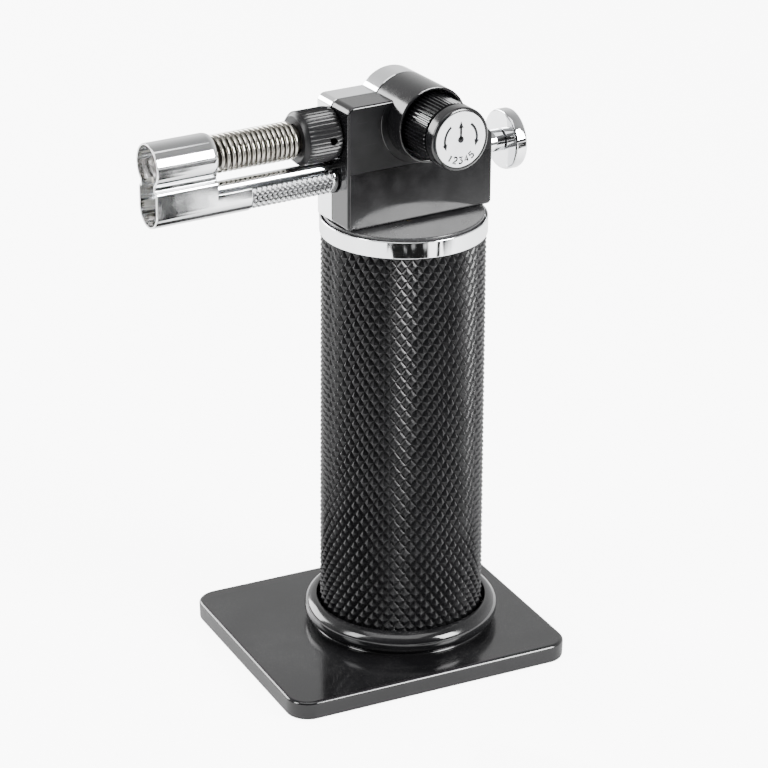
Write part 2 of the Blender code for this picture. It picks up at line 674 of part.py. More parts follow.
# --- burner --------------------------------------------------------------
def burner(torch):
    centre = (0, BURNER_Z)
    tube = pipe("burner_tube", BURNER_R, BURNER_IN, "X", centre, BURNER_FRONT, BURNER_REAR, "chrome",
                torch, 24)
    cut_out(tube, rod("air_port", AIR_HOLE_R, "Y", (AIR_HOLE_X, BURNER_Z), -BURNER_R - CUT,
                      BURNER_R + CUT, 12, torch))
    base = BLOCK_FRONT - GAP
    jet = [(0.4, base), (3.0, base), (3.0, base - 3.2), (JET_R, base - 3.2), (JET_R, JET_NOSE + 1.5),
           (0.9, JET_NOSE), (0.4, JET_NOSE)]
    turned("gas_jet", jet, "X", centre, "brass", torch, 16)
    sleeve = BURNER_IN - GAP
    carry = GUARD_R - GUARD_WALL - GAP
    shoulder = BURNER_FRONT - GAP
    tip = [(1.4, TIP_FRONT), (TIP_R - 0.5, TIP_FRONT), (TIP_R, TIP_FRONT + 0.5), (TIP_R, shoulder - 1.6),
           (carry, shoulder - 1.6), (carry, shoulder), (sleeve, shoulder), (sleeve, BURNER_FRONT + 4.0),
           (1.4, BURNER_FRONT + 4.0)]
    turned("burner_tip", tip, "X", centre, "steel", torch, 24)
    start = GUARD_REAR + GAP + SPRING_WIRE
    end = AIR_COLLAR_FRONT - GAP - SPRING_WIRE
    path = coil_path(COIL_R, "X", centre, start, end, SPRING_TURNS, 10)
    swept("cooling_spring", path, SPRING_WIRE, 0, "steel", torch)


def air_collar(moving):
    centre = (0, BURNER_Z)
    bore = BURNER_R + GAP
    profile = [(bore, AIR_COLLAR_FRONT), (AIR_COLLAR_R - 1.0, AIR_COLLAR_FRONT),
               (AIR_COLLAR_R, AIR_COLLAR_FRONT + 0.9), (AIR_COLLAR_R, AIR_COLLAR_REAR),
               (bore, AIR_COLLAR_REAR)]
    collar = turned("air_collar", profile, "X", centre, "black_plastic", moving, 32)
    cut_out(collar, rod("air_hole", AIR_HOLE_R, "Y", (AIR_HOLE_X, BURNER_Z), -AIR_COLLAR_R - CUT,
                        0, 12, moving))


def guard_outline(inset):
    """Outline the keyhole section of the guard in Y and Z."""
    upper = GUARD_R - inset
    lower = CHANNEL_R - inset
    neck = GUARD_NECK - inset
    edge = math.degrees(math.acos(neck / upper))
    shoulder = CHANNEL_SHOULDER - inset
    bend = lower - neck
    points = arc((0, BURNER_Z), upper, -edge, 180 + edge, 20)
    points += arc((-neck, shoulder - bend), bend, 90, 180, 3)
    points += arc((0, CHANNEL_Z), lower, 180, 360, 12)
    points += arc((neck, shoulder - bend), bend, 0, 90, 3)
    return points


def flame_guard(torch):
    guard = extruded("flame_guard", guard_outline(0), "X", GUARD_FRONT, CHANNEL_REAR, "chrome", torch)
    cut_out(guard, extruded("guard_inside", guard_outline(GUARD_WALL), "X", GUARD_FRONT - CUT,
                            CHANNEL_REAR + CUT, "chrome", torch))
    wide = GUARD_R + CUT
    low = ARM_TOP + GAP
    high = BURNER_Z + wide
    above = [(-wide, low), (wide, low), (wide, high), (-wide, high)]
    cut_out(guard, extruded("guard_step", above, "X", GUARD_REAR, CHANNEL_REAR + CUT, "chrome", torch))


def trough_outline(outer, inner, top):
    """Outline a U-shaped trough in Y and Z."""
    edge_out = math.degrees(math.asin((top - CHANNEL_Z) / outer))
    edge_in = math.degrees(math.asin((top - CHANNEL_Z) / inner))
    outside = arc((0, CHANNEL_Z), outer, 180 - edge_out, 360 + edge_out, 14)
    return outside + arc((0, CHANNEL_Z), inner, 360 + edge_in, 180 - edge_in, 14)


def guard_arm(torch):
    inner = ARM_R - ARM_WALL
    front = CHANNEL_REAR + GAP
    arm = extruded("guard_arm", trough_outline(ARM_R, inner, ARM_TOP), "X", front, ARM_END - 0.9,
                   "chrome", torch)
    edge = math.degrees(math.asin((BULKHEAD_TOP - CHANNEL_Z) / ARM_R))
    bulkhead = arc((0, CHANNEL_Z), ARM_R, 180 - edge, 360 + edge, 14)
    join_on(arm, extruded("arm_bulkhead", bulkhead, "X", ARM_END - 1.2, ARM_END, "chrome", torch))
    half = TANG_HALF
    low = CHANNEL_Z - ARM_R + 0.1
    tang = [(-half, low), (half, low), (half, TANG_TOP), (-half, TANG_TOP)]
    join_on(arm, extruded("arm_tang", tang, "X", ARM_END - 0.6, TANG_REAR, "chrome", torch))
    tongue_out = CHANNEL_R - GUARD_WALL - GAP
    tongue = trough_outline(tongue_out, tongue_out - ARM_WALL, ARM_TOP - 0.4)
    join_on(arm, extruded("arm_tongue", tongue, "X", front - ARM_TONGUE, front + 1.5, "chrome", torch))


# --- igniter -------------------------------------------------------------
def electrode(torch):
    centre = (0, CONDUIT_Z)
    inner = CONDUIT_R - CONDUIT_WALL
    pipe("igniter_conduit", CONDUIT_R, inner, "X", centre, CONDUIT_FRONT, CONDUIT_REAR, "chrome",
         torch, 20)
    front = CONDUIT_FRONT - 8.0
    rear = CONDUIT_REAR - 1.5
    pipe("electrode_insulator", INSULATOR_R, PIN_R + GAP, "X", centre, front, rear, "ceramic", torch, 16)
    rise = BURNER_Z - TIP_R
    knots = [(rear - 0.5, 0, CONDUIT_Z), (front / 2, 0, CONDUIT_Z), (front, 0, CONDUIT_Z),
             (front - 1.6, 0, CONDUIT_Z + 0.5), (front - 2.3, 0, rise)]
    swept("electrode_pin", smooth_path(knots, 3), PIN_R, 0, "steel", torch)


def piezo_igniter(torch, button):
    centre = (0, BUTTON_Z)
    bore = PLUNGER_R + GAP
    profile = [(0, PIEZO_FRONT), (PIEZO_R - 0.6, PIEZO_FRONT), (PIEZO_R, PIEZO_FRONT + 0.6),
               (PIEZO_R, PIEZO_REAR), (bore, PIEZO_REAR), (bore, PIEZO_FLOOR), (0, PIEZO_FLOOR)]
    turned("piezo_igniter", profile, "X", centre, "black_plastic", torch, 24)
    wire = 0.3
    path = coil_path(2.1, "X", centre, PIEZO_FLOOR + GAP + wire, PLUNGER_END - GAP - wire, 5, 8)
    swept("igniter_spring", path, wire, 0, "steel", torch)
    spigot = 1.5
    shoulder = BUTTON_BACK - GAP
    stem = [(0, PLUNGER_END), (PLUNGER_R, PLUNGER_END), (PLUNGER_R, shoulder), (spigot, shoulder),
            (spigot, shoulder + 2.0), (0, shoulder + 2.0)]
    turned("igniter_plunger", stem, "X", centre, "chrome", button, 24)
    rim = BUTTON_BACK + BUTTON_RIM
    sphere = (BUTTON_R ** 2 + BUTTON_DOME ** 2) / (2 * BUTTON_DOME)
    cap = [(0, shoulder + 2.0 + GAP), (spigot + GAP, shoulder + 2.0 + GAP), (spigot + GAP, BUTTON_BACK),
           (BUTTON_R - 0.5, BUTTON_BACK), (BUTTON_R, BUTTON_BACK + 0.5), (BUTTON_R, rim)]
    for i in range(1, 4):
        r = BUTTON_R * (1 - i / 4)
        cap.append((r, rim + BUTTON_DOME - sphere + math.sqrt(sphere ** 2 - r ** 2)))
    cap.append((0, rim + BUTTON_DOME))
    turned("igniter_button", cap, "X", centre, "chrome", button, 28)


def igniter_wire(torch):
    """Run the high-voltage lead past the valve block to the electrode."""
    side = BLOCK_FAR + 2 * GAP + WIRE_R - 0.15
    join = CONDUIT_REAR - 1.5 - 0.5 + GAP
    knots = [(PIEZO_FRONT - GAP, side - 0.6, BUTTON_Z), (BLOCK_REAR + 0.6, side, BUTTON_Z + 0.2),
             (BLOCK_FRONT / 2, side, BUTTON_Z + 1.2), (BLOCK_FRONT - 1.4, side - 0.5, CONDUIT_Z - 0.5),
             (CONDUIT_REAR + 2.4, 0.8, CONDUIT_Z), (CONDUIT_REAR + 0.4, 0, CONDUIT_Z),
             (join, 0, CONDUIT_Z)]
    swept("igniter_wire", smooth_path(knots, 4), WIRE_R, 0, "red_wire", torch)


def build():
    for item in list(bpy.data.objects):
        bpy.data.objects.remove(item)
    lift = pivot("lift_axis", (0, 0, TORCH_FOOT))
    torch = pivot("turn_axis", (0, 0, TORCH_FOOT), lift)
    knob = pivot("knob_axis", (KNOB_X, HEAD_NEAR, KNOB_Z), torch)
    button = pivot("button_axis", (BUTTON_BACK, 0, BUTTON_Z), torch)
    collar = pivot("air_axis", (AIR_COLLAR_REAR, 0, BURNER_Z), torch)
    filler = pivot("fill_axis", (0, 0, TORCH_FOOT), torch)
    stand_base()
    stand_pad()
    foot_ring(lift)
    foot_plate(torch)
    grip_sleeve(torch)
    collar_ring(torch)
    head_deck(torch)
    fuel_tank(torch)
    tank_cap(torch)
    fill_valve(torch, filler)
    gas_valve(torch)
    neck_nut(torch)
    spindle(knob)
    needle(knob)
    gas_knob(knob)
    side_cover(torch)
    back_cover(torch)
    for tag in SCREW_PLACES:
        cover_screw(tag, torch)
    burner(torch)
    air_collar(collar)
    flame_guard(torch)
    guard_arm(torch)
    electrode(torch)
    piezo_igniter(torch, button)
    igniter_wire(torch)


build()
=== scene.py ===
import math

import bmesh
import bpy
from mathutils import Matrix, Vector


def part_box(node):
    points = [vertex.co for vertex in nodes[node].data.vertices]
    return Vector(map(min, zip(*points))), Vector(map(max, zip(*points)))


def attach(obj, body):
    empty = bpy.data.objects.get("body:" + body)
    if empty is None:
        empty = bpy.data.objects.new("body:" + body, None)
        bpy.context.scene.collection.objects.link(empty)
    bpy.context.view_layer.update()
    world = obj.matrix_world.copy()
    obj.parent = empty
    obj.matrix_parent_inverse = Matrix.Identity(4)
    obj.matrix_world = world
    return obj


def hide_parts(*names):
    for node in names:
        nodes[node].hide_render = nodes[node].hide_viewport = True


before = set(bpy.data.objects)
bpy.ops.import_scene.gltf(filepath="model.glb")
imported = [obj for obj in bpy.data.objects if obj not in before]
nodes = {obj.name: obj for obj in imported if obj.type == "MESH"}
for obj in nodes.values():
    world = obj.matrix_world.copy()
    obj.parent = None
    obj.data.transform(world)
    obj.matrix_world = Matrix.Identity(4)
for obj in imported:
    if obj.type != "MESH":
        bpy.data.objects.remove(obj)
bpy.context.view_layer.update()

mm = 0.001
joinDistance = 1e-4  # vertices nearer than this, in millimetres, are one
fine = 96  # sides of the wide round pieces


def boxOf(node):
    # Corners of a CAD node in millimetres.
    low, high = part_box(node)
    return low / mm, high / mm


def toSpace(axis, along, u, v):
    return {"X": (along, u, v), "Y": (u, along, v), "Z": (u, v, along)}[axis]


def arcPoints(cx, cy, radius, first, last, steps):
    points = []
    for i in range(steps + 1):
        a = math.radians(first + (last - first) * i / steps)
        points.append((cx + radius * math.cos(a), cy + radius * math.sin(a)))
    return points


def spinProfile(bm, profile, axis, centre, steps=fine, closed=True):
    # Spin a (radius, position) profile round an axis; off the axis its two ends are joined.
    cu, cv = centre
    verts = [bm.verts.new(toSpace(axis, h, cu + r, cv)) for r, h in profile]
    edges = [bm.edges.new(pair) for pair in zip(verts, verts[1:])]
    if closed and min(r for r, h in profile) > 0:
        edges.append(bm.edges.new((verts[-1], verts[0])))
    bmesh.ops.spin(bm, geom=verts + edges, cent=toSpace(axis, 0, cu, cv), axis=toSpace(axis, 1, 0, 0),
                   angle=math.tau, steps=steps, use_merge=True)


def weld(bm):
    bmesh.ops.remove_doubles(bm, verts=bm.verts, dist=joinDistance)


def tidyMesh(bm):
    # Merge doubles and turn the faces outwards.
    weld(bm)
    bmesh.ops.recalc_face_normals(bm, faces=bm.faces)


def vertsIn(geometry):
    return [g for g in geometry if isinstance(g, bmesh.types.BMVert)]


def roundEdges(bm, width, segments=3, sharper=35):
    tidyMesh(bm)
    edges = [e for e in bm.edges if e.is_manifold and e.calc_face_angle(0) > math.radians(sharper)]
    bmesh.ops.bevel(bm, geom=edges, offset=width, segments=segments, profile=0.5, affect="EDGES",
                    clamp_overlap=True, material=-1)


def extrudeOutline(bm, outline, axis, start, end):
    face = bm.faces.new([bm.verts.new(toSpace(axis, start, u, v)) for u, v in outline])
    moved = vertsIn(bmesh.ops.extrude_face_region(bm, geom=[face])["geom"])
    bmesh.ops.translate(bm, verts=moved, vec=toSpace(axis, end - start, 0, 0))


def loftLoops(bm, loops, closed=True):
    # Extrude a ring of edges on to each further ring of places; closed fills both ends.
    first = [bm.verts.new(place) for place in loops[0]]
    verts = first
    edges = [bm.edges.new((verts[i - 1], verts[i])) for i in range(len(verts))]
    for places in loops[1:]:
        grown = bmesh.ops.extrude_edge_only(bm, edges=edges)["geom"]
        fresh = vertsIn(grown)
        freshSet = set(fresh)
        edges = [g for g in grown if isinstance(g, bmesh.types.BMEdge) and freshSet.issuperset(g.verts)]
        joined = {}
        for v in fresh:
            for e in v.link_edges:
                if e.other_vert(v) not in freshSet:
                    joined[e.other_vert(v)] = v
        verts = [joined[v] for v in verts]
        for v, place in zip(verts, places):
            v.co = place
    if closed:
        for rim in (first, verts):
            bm.faces.new(rim)


def meshObject(bm, name):
    mesh = bpy.data.meshes.new(name)
    bm.to_mesh(mesh)
    bm.free()
    item = bpy.data.objects.new(name, mesh)
    bpy.context.scene.collection.objects.link(item)
    return item


def shadeFaces(piece):
    shade = piece.modifiers.new("faceShading", "WEIGHTED_NORMAL")
    shade.keep_sharp = True


def cleanMesh(bm):
    # Clean the bmesh and take it from millimetres to metres.
    tidyMesh(bm)
    bmesh.ops.scale(bm, vec=(mm, mm, mm), verts=bm.verts)


def finishPiece(bm, name, material, body, replaced=(), smooth=40, weighted=True):
    # Make the bmesh a piece on its body; smooth is the angle of sharp edges, 0 leaves them be.
    cleanMesh(bm)
    piece = meshObject(bm, name)
    piece.data.shade_smooth()
    if smooth:
        piece.data.set_sharp_from_angle(angle=math.radians(smooth))
    piece.data.materials.append(material)
    if weighted:
        shadeFaces(piece)
    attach(piece, body)
    if replaced:
        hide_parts(*replaced)
    return piece


def turnedPiece(name, profile, axis, centre, edge, material, body, replaced=(), steps=fine):
    bm = bmesh.new()
    spinProfile(bm, profile, axis, centre, steps)
    if edge:
        roundEdges(bm, edge)
    finishPiece(bm, name, material, body, replaced)


def newGroup(name, inputs, outputs):
    group = bpy.data.node_groups.new(name, "ShaderNodeTree")
    for label, kind, value in inputs:
        socket = group.interface.new_socket(name=label, in_out="INPUT", socket_type=kind)
        socket.default_value = value
    for label, kind in outputs:
        group.interface.new_socket(name=label, in_out="OUTPUT", socket_type=kind)
    start = group.nodes.new("NodeGroupInput")
    end = group.nodes.new("NodeGroupOutput")
    return group, start, end


def addNode(tree, kind, **settings):
    node = tree.nodes.new(kind)
    for key, value in settings.items():
        setattr(node, key, value)
    return node


def feed(tree, socket, value):
    # Link the value to the socket, or set it where it is a number.
    if isinstance(value, bpy.types.NodeSocket):
        tree.links.new(value, socket)
    else:
        socket.default_value = value


def addNoise(tree, vector, scale, detail=4.0, rough=0.55):
    noise = addNode(tree, "ShaderNodeTexNoise")
    noise.inputs["Detail"].default_value = detail
    noise.inputs["Roughness"].default_value = rough
    feed(tree, noise.inputs["Scale"], scale)
    feed(tree, noise.inputs["Vector"], vector)
    return noise.outputs["Fac"]


def mapRange(tree, value, low, high, to0=0.0, to1=1.0):
    node = addNode(tree, "ShaderNodeMapRange")
    for key, number in (("Value", value), ("From Min", low), ("From Max", high), ("To Min", to0),
                        ("To Max", to1)):
        feed(tree, node.inputs[key], number)
    return node.outputs["Result"]


def mathNode(tree, operation, a, b):
    node = addNode(tree, "ShaderNodeMath", operation=operation)
    feed(tree, node.inputs[0], a)
    feed(tree, node.inputs[1], b)
    return node.outputs[0]


def splitXYZ(tree, vector):
    node = addNode(tree, "ShaderNodeSeparateXYZ")
    tree.links.new(vector, node.inputs["Vector"])
    return node.outputs


def times(tree, a, b):
    return mathNode(tree, "MULTIPLY", a, b)


def plus(tree, a, b):
    return mathNode(tree, "ADD", a, b)


def minus(tree, a, b):
    return mathNode(tree, "SUBTRACT", a, b)


def makeHandlingGroup():
    # Smudges, fine scratches and grain, as masks and a height.
    group, start, end = newGroup(
        "handlingMarks",
        [("Vector", "NodeSocketVector", (0, 0, 0)), ("Smudge Scale", "NodeSocketFloat", 90.0),
         ("Scratch Scale", "NodeSocketFloat", 6000.0), ("Grain Scale", "NodeSocketFloat", 1400.0)],
        [("Smudge", "NodeSocketFloat"), ("Scratch", "NodeSocketFloat"), ("Grain", "NodeSocketFloat")])
    where = start.outputs["Vector"]
    broad = addNoise(group, where, start.outputs["Smudge Scale"], 5.0, 0.6)
    smudge = mapRange(group, broad, 0.42, 0.68)
    stretch = addNode(group, "ShaderNodeMapping")
    stretch.inputs["Rotation"].default_value = (0.5, 0.8, 0.3)
    stretch.inputs["Scale"].default_value = (0.02, 1.0, 1.0)
    group.links.new(where, stretch.inputs["Vector"])
    lines = addNoise(group, stretch.outputs["Vector"], start.outputs["Scratch Scale"], 2.0, 0.5)
    scratch = mapRange(group, lines, 0.71, 0.78)
    fineGrain = addNoise(group, where, start.outputs["Grain Scale"], 2.0, 0.5)
    group.links.new(smudge, end.inputs["Smudge"])
    group.links.new(scratch, end.inputs["Scratch"])
    group.links.new(fineGrain, end.inputs["Grain"])
    return group


def makeDustGroup():
    # Dust that settles on what faces up, as a mask.
    group, start, end = newGroup(
        "settledDust", [("Vector", "NodeSocketVector", (0, 0, 0)), ("Amount", "NodeSocketFloat", 0.4)],
        [("Dust", "NodeSocketFloat")])
    normal = addNode(group, "ShaderNodeNewGeometry")
    upward = mapRange(group, splitXYZ(group, normal.outputs["Normal"])["Z"], 0.35, 1.0)
    specks = mapRange(group, addNoise(group, start.outputs["Vector"], 5200.0, 3.0, 0.7), 0.56, 0.78)
    patches = mapRange(group, addNoise(group, start.outputs["Vector"], 70.0, 4.0, 0.6), 0.35, 0.75)
    both = times(group, times(group, upward, specks), patches)
    group.links.new(times(group, both, start.outputs["Amount"]), end.inputs["Dust"])
    return group


handlingMarks = makeHandlingGroup()
settledDust = makeDustGroup()
print("node groups made")


def startMaterial(name, color, metallic, roughness, specular=0.5):
    material = bpy.data.materials.new(name)
    material.use_nodes = True
    tree = material.node_tree
    shader = tree.nodes["Principled BSDF"]
    shader.inputs["Base Color"].default_value = (*color, 1)
    shader.inputs["Metallic"].default_value = metallic
    shader.inputs["Roughness"].default_value = roughness
    shader.inputs["Specular IOR Level"].default_value = specular
    where = addNode(tree, "ShaderNodeTexCoord").outputs["Object"]
    return material, tree, shader, where


def placeGroup(tree, group, where, **values):
    node = addNode(tree, "ShaderNodeGroup", node_tree=group)
    tree.links.new(where, node.inputs["Vector"])
    for key, value in values.items():
        node.inputs[key.replace("_", " ")].default_value = value
    return node


def mixColor(tree, factor, a, b):
    node = addNode(tree, "ShaderNodeMix", data_type="RGBA")
    feed(tree, node.inputs[0], factor)
    for socket, value in ((node.inputs[6], a), (node.inputs[7], b)):
        feed(tree, socket, value if isinstance(value, bpy.types.NodeSocket) else (*value, 1))
    return node.outputs[2]


def addBump(tree, shader, height, distance):
    bump = addNode(tree, "ShaderNodeBump")
    bump.inputs["Strength"].default_value = 1.0
    bump.inputs["Distance"].default_value = distance
    tree.links.new(height, bump.inputs["Height"])
    tree.links.new(bump.outputs["Normal"], shader.inputs["Normal"])


def handledMaterial(name, look):
    # A material whose gloss and tint change with handling.
    material, tree, shader, where = startMaterial(name, look["color"], look["metallic"], look["gloss"],
                                                  look["specular"])
    marks = placeGroup(tree, handlingMarks, where, Smudge_Scale=look["smudgeScale"],
                       Scratch_Scale=look["scratchScale"], Grain_Scale=look["grainScale"])
    smudged = mapRange(tree, marks.outputs["Smudge"], 0, 1, look["gloss"], look["smudgedGloss"])
    worn = times(tree, marks.outputs["Scratch"], look["scratchGloss"])
    tree.links.new(plus(tree, smudged, worn), shader.inputs["Roughness"])
    color = mixColor(tree, marks.outputs["Smudge"], look["color"], look["smudgedColor"])
    color = mixColor(tree, marks.outputs["Scratch"], color, look["scratchedColor"])
    if look["dust"]:
        dust = placeGroup(tree, settledDust, where, Amount=look["dust"])
        color = mixColor(tree, dust.outputs["Dust"], color, (0.42, 0.41, 0.39))
    feed(tree, shader.inputs["Base Color"], color)
    height = minus(tree, times(tree, marks.outputs["Grain"], look["grain"]),
                   times(tree, marks.outputs["Scratch"], look["scratchDepth"]))
    addBump(tree, shader, height, look["bump"])
    return material, tree, shader, where, color


plainLook = {
    "metallic": 0.0, "specular": 0.5, "smudgeScale": 90.0, "scratchScale": 6000.0, "grainScale": 1400.0,
    "scratchGloss": 0.12, "scratchDepth": 0.3, "bump": 0.000002, "dust": 0.0,
}
chromeLook = dict(plainLook, color=(0.83, 0.84, 0.85), smudgedColor=(0.76, 0.77, 0.785),
                  scratchedColor=(0.88, 0.88, 0.88), metallic=1.0, gloss=0.045, smudgedGloss=0.11,
                  scratchGloss=0.08, grain=0.5, scratchDepth=0.4, bump=0.0000012, smudgeScale=120.0)
plasticLook = dict(plainLook, color=(0.0034, 0.0034, 0.0038), smudgedColor=(0.0056, 0.0057, 0.0063),
                   scratchedColor=(0.016, 0.016, 0.017), gloss=0.11, smudgedGloss=0.22, scratchGloss=0.1,
                   grain=0.8, scratchDepth=0.5, bump=0.0000025, dust=0.22, smudgeScale=75.0)
deckLook = dict(plasticLook, color=(0.014, 0.014, 0.015), smudgedColor=(0.03, 0.03, 0.031),
                scratchedColor=(0.09, 0.09, 0.09), gloss=0.2, smudgedGloss=0.34, dust=0.35)
fluteLook = dict(plasticLook, gloss=0.3, smudgedGloss=0.42, specular=0.22)
springLook = dict(plainLook, color=(0.4, 0.385, 0.35), smudgedColor=(0.26, 0.245, 0.215),
                  scratchedColor=(0.62, 0.61, 0.58), metallic=1.0, gloss=0.14, smudgedGloss=0.28, grain=0.6,
                  smudgeScale=260.0)
brassLook = dict(plainLook, color=(0.7, 0.5, 0.2), smudgedColor=(0.52, 0.36, 0.15),
                 scratchedColor=(0.85, 0.68, 0.35), metallic=1.0, gloss=0.22, smudgedGloss=0.42, grain=0.5,
                 bump=0.000003)
rubberLook = dict(plainLook, color=(0.018, 0.018, 0.018), smudgedColor=(0.032, 0.032, 0.031),
                  scratchedColor=(0.05, 0.05, 0.05), gloss=0.72, smudgedGloss=0.9, grain=1.0, bump=0.00003,
                  grainScale=2200.0, dust=0.2)
tankLook = dict(plainLook, color=(0.5, 0.53, 0.56), smudgedColor=(0.44, 0.47, 0.5),
                scratchedColor=(0.62, 0.64, 0.66), gloss=0.36, smudgedGloss=0.5, grain=0.6, bump=0.000006)
ceramicLook = dict(plainLook, color=(0.8, 0.78, 0.72), smudgedColor=(0.7, 0.67, 0.6),
                   scratchedColor=(0.6, 0.57, 0.5), gloss=0.24, smudgedGloss=0.4, grain=0.4, bump=0.000004)
wireLook = dict(plainLook, color=(0.42, 0.03, 0.02), smudgedColor=(0.3, 0.025, 0.02),
                scratchedColor=(0.5, 0.08, 0.06), gloss=0.42, smudgedGloss=0.6, grain=0.7, bump=0.000005)
tubeLook = dict(plainLook, color=(0.14, 0.13, 0.115), smudgedColor=(0.08, 0.07, 0.06),
                scratchedColor=(0.3, 0.28, 0.25), metallic=1.0, gloss=0.34, smudgedGloss=0.5, grain=0.6,
                bump=0.000003)
chrome = handledMaterial("brightChrome", chromeLook)[0]
darkSteel = handledMaterial("darkSteel", tubeLook)[0]
plastic = handledMaterial("glossBlackPlastic", plasticLook)[0]
flutePlastic = handledMaterial("satinBlackPlastic", fluteLook)[0]
deckPlastic = handledMaterial("dustyBlackPlastic", deckLook)[0]
springSteel = handledMaterial("springSteel", springLook)[0]
brass = handledMaterial("turnedBrass", brassLook)[0]
rubber = handledMaterial("softRubber", rubberLook)[0]
tankPlastic = handledMaterial("tankPlastic", tankLook)[0]
ceramic = handledMaterial("glazedCeramic", ceramicLook)[0]
wireSleeve = handledMaterial("wireSleeve", wireLook)[0]


def knurlMaterial(name, look):
    # Knurled surface: the ridge attribute runs from 0 in the grooves to 1 on the peaks.
    material, tree, shader, where, color = handledMaterial(name, look)
    ridge = addNode(tree, "ShaderNodeAttribute", attribute_name="ridge").outputs["Fac"]
    # the peaks are lighter: rubbed wear and a painted highlight
    wornAndSheen = times(tree, mapRange(tree, ridge, 0.80, 1.0),
                   mapRange(tree, addNoise(tree, where, look["wearAndSheenScale"], 3.0), 0.3, 0.62))
    color = mixColor(tree, times(tree, wornAndSheen, look["wearAndSheen"]), color, look["wearAndSheenColor"])
    # the colour is darker towards the grooves
    grooveDarkening = times(tree, mapRange(tree, ridge, 0.35, 0.0), look["grooveDarkening"])
    color = mixColor(tree, grooveDarkening, color, look["grooveDarkeningColor"])
    feed(tree, shader.inputs["Base Color"], color)
    crown = addNode(tree, "ShaderNodeBump", invert=True)  # the pyramids' sides are a little domed
    crown.inputs["Distance"].default_value = look["crown"] * mm
    tree.links.new(mathNode(tree, "POWER", ridge, 2.0), crown.inputs["Height"])
    fineBump = shader.inputs["Normal"].links[0].from_node
    tree.links.new(crown.outputs["Normal"], fineBump.inputs["Normal"])
    return material


gripLook = dict(plainLook, color=(0.0038, 0.0038, 0.0042), smudgedColor=(0.0052, 0.0052, 0.0057),
                scratchedColor=(0.03, 0.03, 0.032), gloss=0.2, smudgedGloss=0.28, grain=0.6, bump=0.0000015,
                smudgeScale=120.0, specular=0.24, wearAndSheen=0.25, wearAndSheenScale=320.0, wearAndSheenColor=(0.07, 0.07, 0.073),
                grooveDarkening=0.6, grooveDarkeningColor=(0.004, 0.004, 0.004), crown=0.3)
armLook = dict(plainLook, color=(0.74, 0.75, 0.76), smudgedColor=(0.6, 0.61, 0.62),
               scratchedColor=(0.85, 0.85, 0.85), metallic=1.0, gloss=0.13, smudgedGloss=0.22, grain=0.4,
               bump=0.0000015, wearAndSheen=0.5, wearAndSheenScale=500.0, wearAndSheenColor=(0.9, 0.9, 0.9), grooveDarkening=0.75,
               grooveDarkeningColor=(0.16, 0.16, 0.165), crown=0.05)
knurledGrip = knurlMaterial("knurledGrip", gripLook)
knurledArm = knurlMaterial("knurledArm", armLook)


def flameMaterial(name, look):
    # Steel that the flame has tinted, most at the mouth.
    material, tree, shader, where, color = handledMaterial(name, look)
    wave = times(tree, addNoise(tree, where, 260.0, 3.0), look["waver"] * mm)
    place = plus(tree, splitXYZ(tree, where)["X"], wave)
    heat = mapRange(tree, place, look["coolAt"] * mm, look["hotAt"] * mm)
    ramp = addNode(tree, "ShaderNodeValToRGB")
    stops = ramp.color_ramp.elements
    stops[0].position = 0.0
    stops[0].color = (*look["color"], 1)
    stops[1].position = 1.0
    stops[1].color = (*look["hotColor"], 1)
    for position, tint in look["tints"]:
        stop = stops.new(position)
        stop.color = (*tint, 1)
    tree.links.new(heat, ramp.inputs["Fac"])
    color = mixColor(tree, look["tintAmount"], color, ramp.outputs["Color"])
    feed(tree, shader.inputs["Base Color"], color)
    return material


guardLook = dict(chromeLook, hotAt=-65.0, coolAt=-56.0, waver=4.0, tintAmount=0.15,
                 hotColor=(0.6, 0.58, 0.57), tints=[(0.55, (0.8, 0.79, 0.76)), (0.8, (0.74, 0.69, 0.62))],
                 gloss=0.07, smudgedGloss=0.16)
tipLook = dict(springLook, hotAt=-59.0, coolAt=-50.0, waver=4.0, tintAmount=0.85,
               hotColor=(0.2, 0.2, 0.215), tints=[(0.3, (0.45, 0.42, 0.36)), (0.6, (0.28, 0.26, 0.25))])
flameChrome = flameMaterial("guardChrome", guardLook)
tintedSteel = flameMaterial("tintedSteel", tipLook)


def labelMaterial():
    material, tree, shader, where = startMaterial("labelFilm", (0.78, 0.785, 0.80), 0.0, 0.38)
    marks = placeGroup(tree, handlingMarks, where, Smudge_Scale=180.0, Scratch_Scale=1500.0)
    color = mixColor(tree, marks.outputs["Smudge"], (0.70, 0.705, 0.72), (0.62, 0.625, 0.64))
    color = mixColor(tree, marks.outputs["Scratch"], color, (0.55, 0.55, 0.56))
    feed(tree, shader.inputs["Base Color"], color)
    rough = mapRange(tree, marks.outputs["Smudge"], 0, 1, 0.32, 0.5)
    tree.links.new(rough, shader.inputs["Roughness"])
    addBump(tree, shader, marks.outputs["Grain"], 0.000002)
    return material


labelFilm = labelMaterial()
inkLook = dict(plainLook, color=(0.004, 0.004, 0.005), smudgedColor=(0.012, 0.012, 0.013),
               scratchedColor=(0.2, 0.2, 0.2), gloss=0.5, smudgedGloss=0.65, grain=0.2, bump=0.000001,
               specular=0.2)
printInk = handledMaterial("printInk", inkLook)[0]
print("materials made")


stand = {
    "length": 71.5, "width": 60.9, "corner": 5.5, "shift": -5.7, "turn": -4.9, "top": 4.9, "under": 0.4,
    "edge": 0.75, "socketGap": 0.6, "floor": 3.0, "rim": 10.85, "bead": 2.75, "flare": 0.35, "onCorner": 12,
    "onSide": 36, "padInset": 2.7,
}


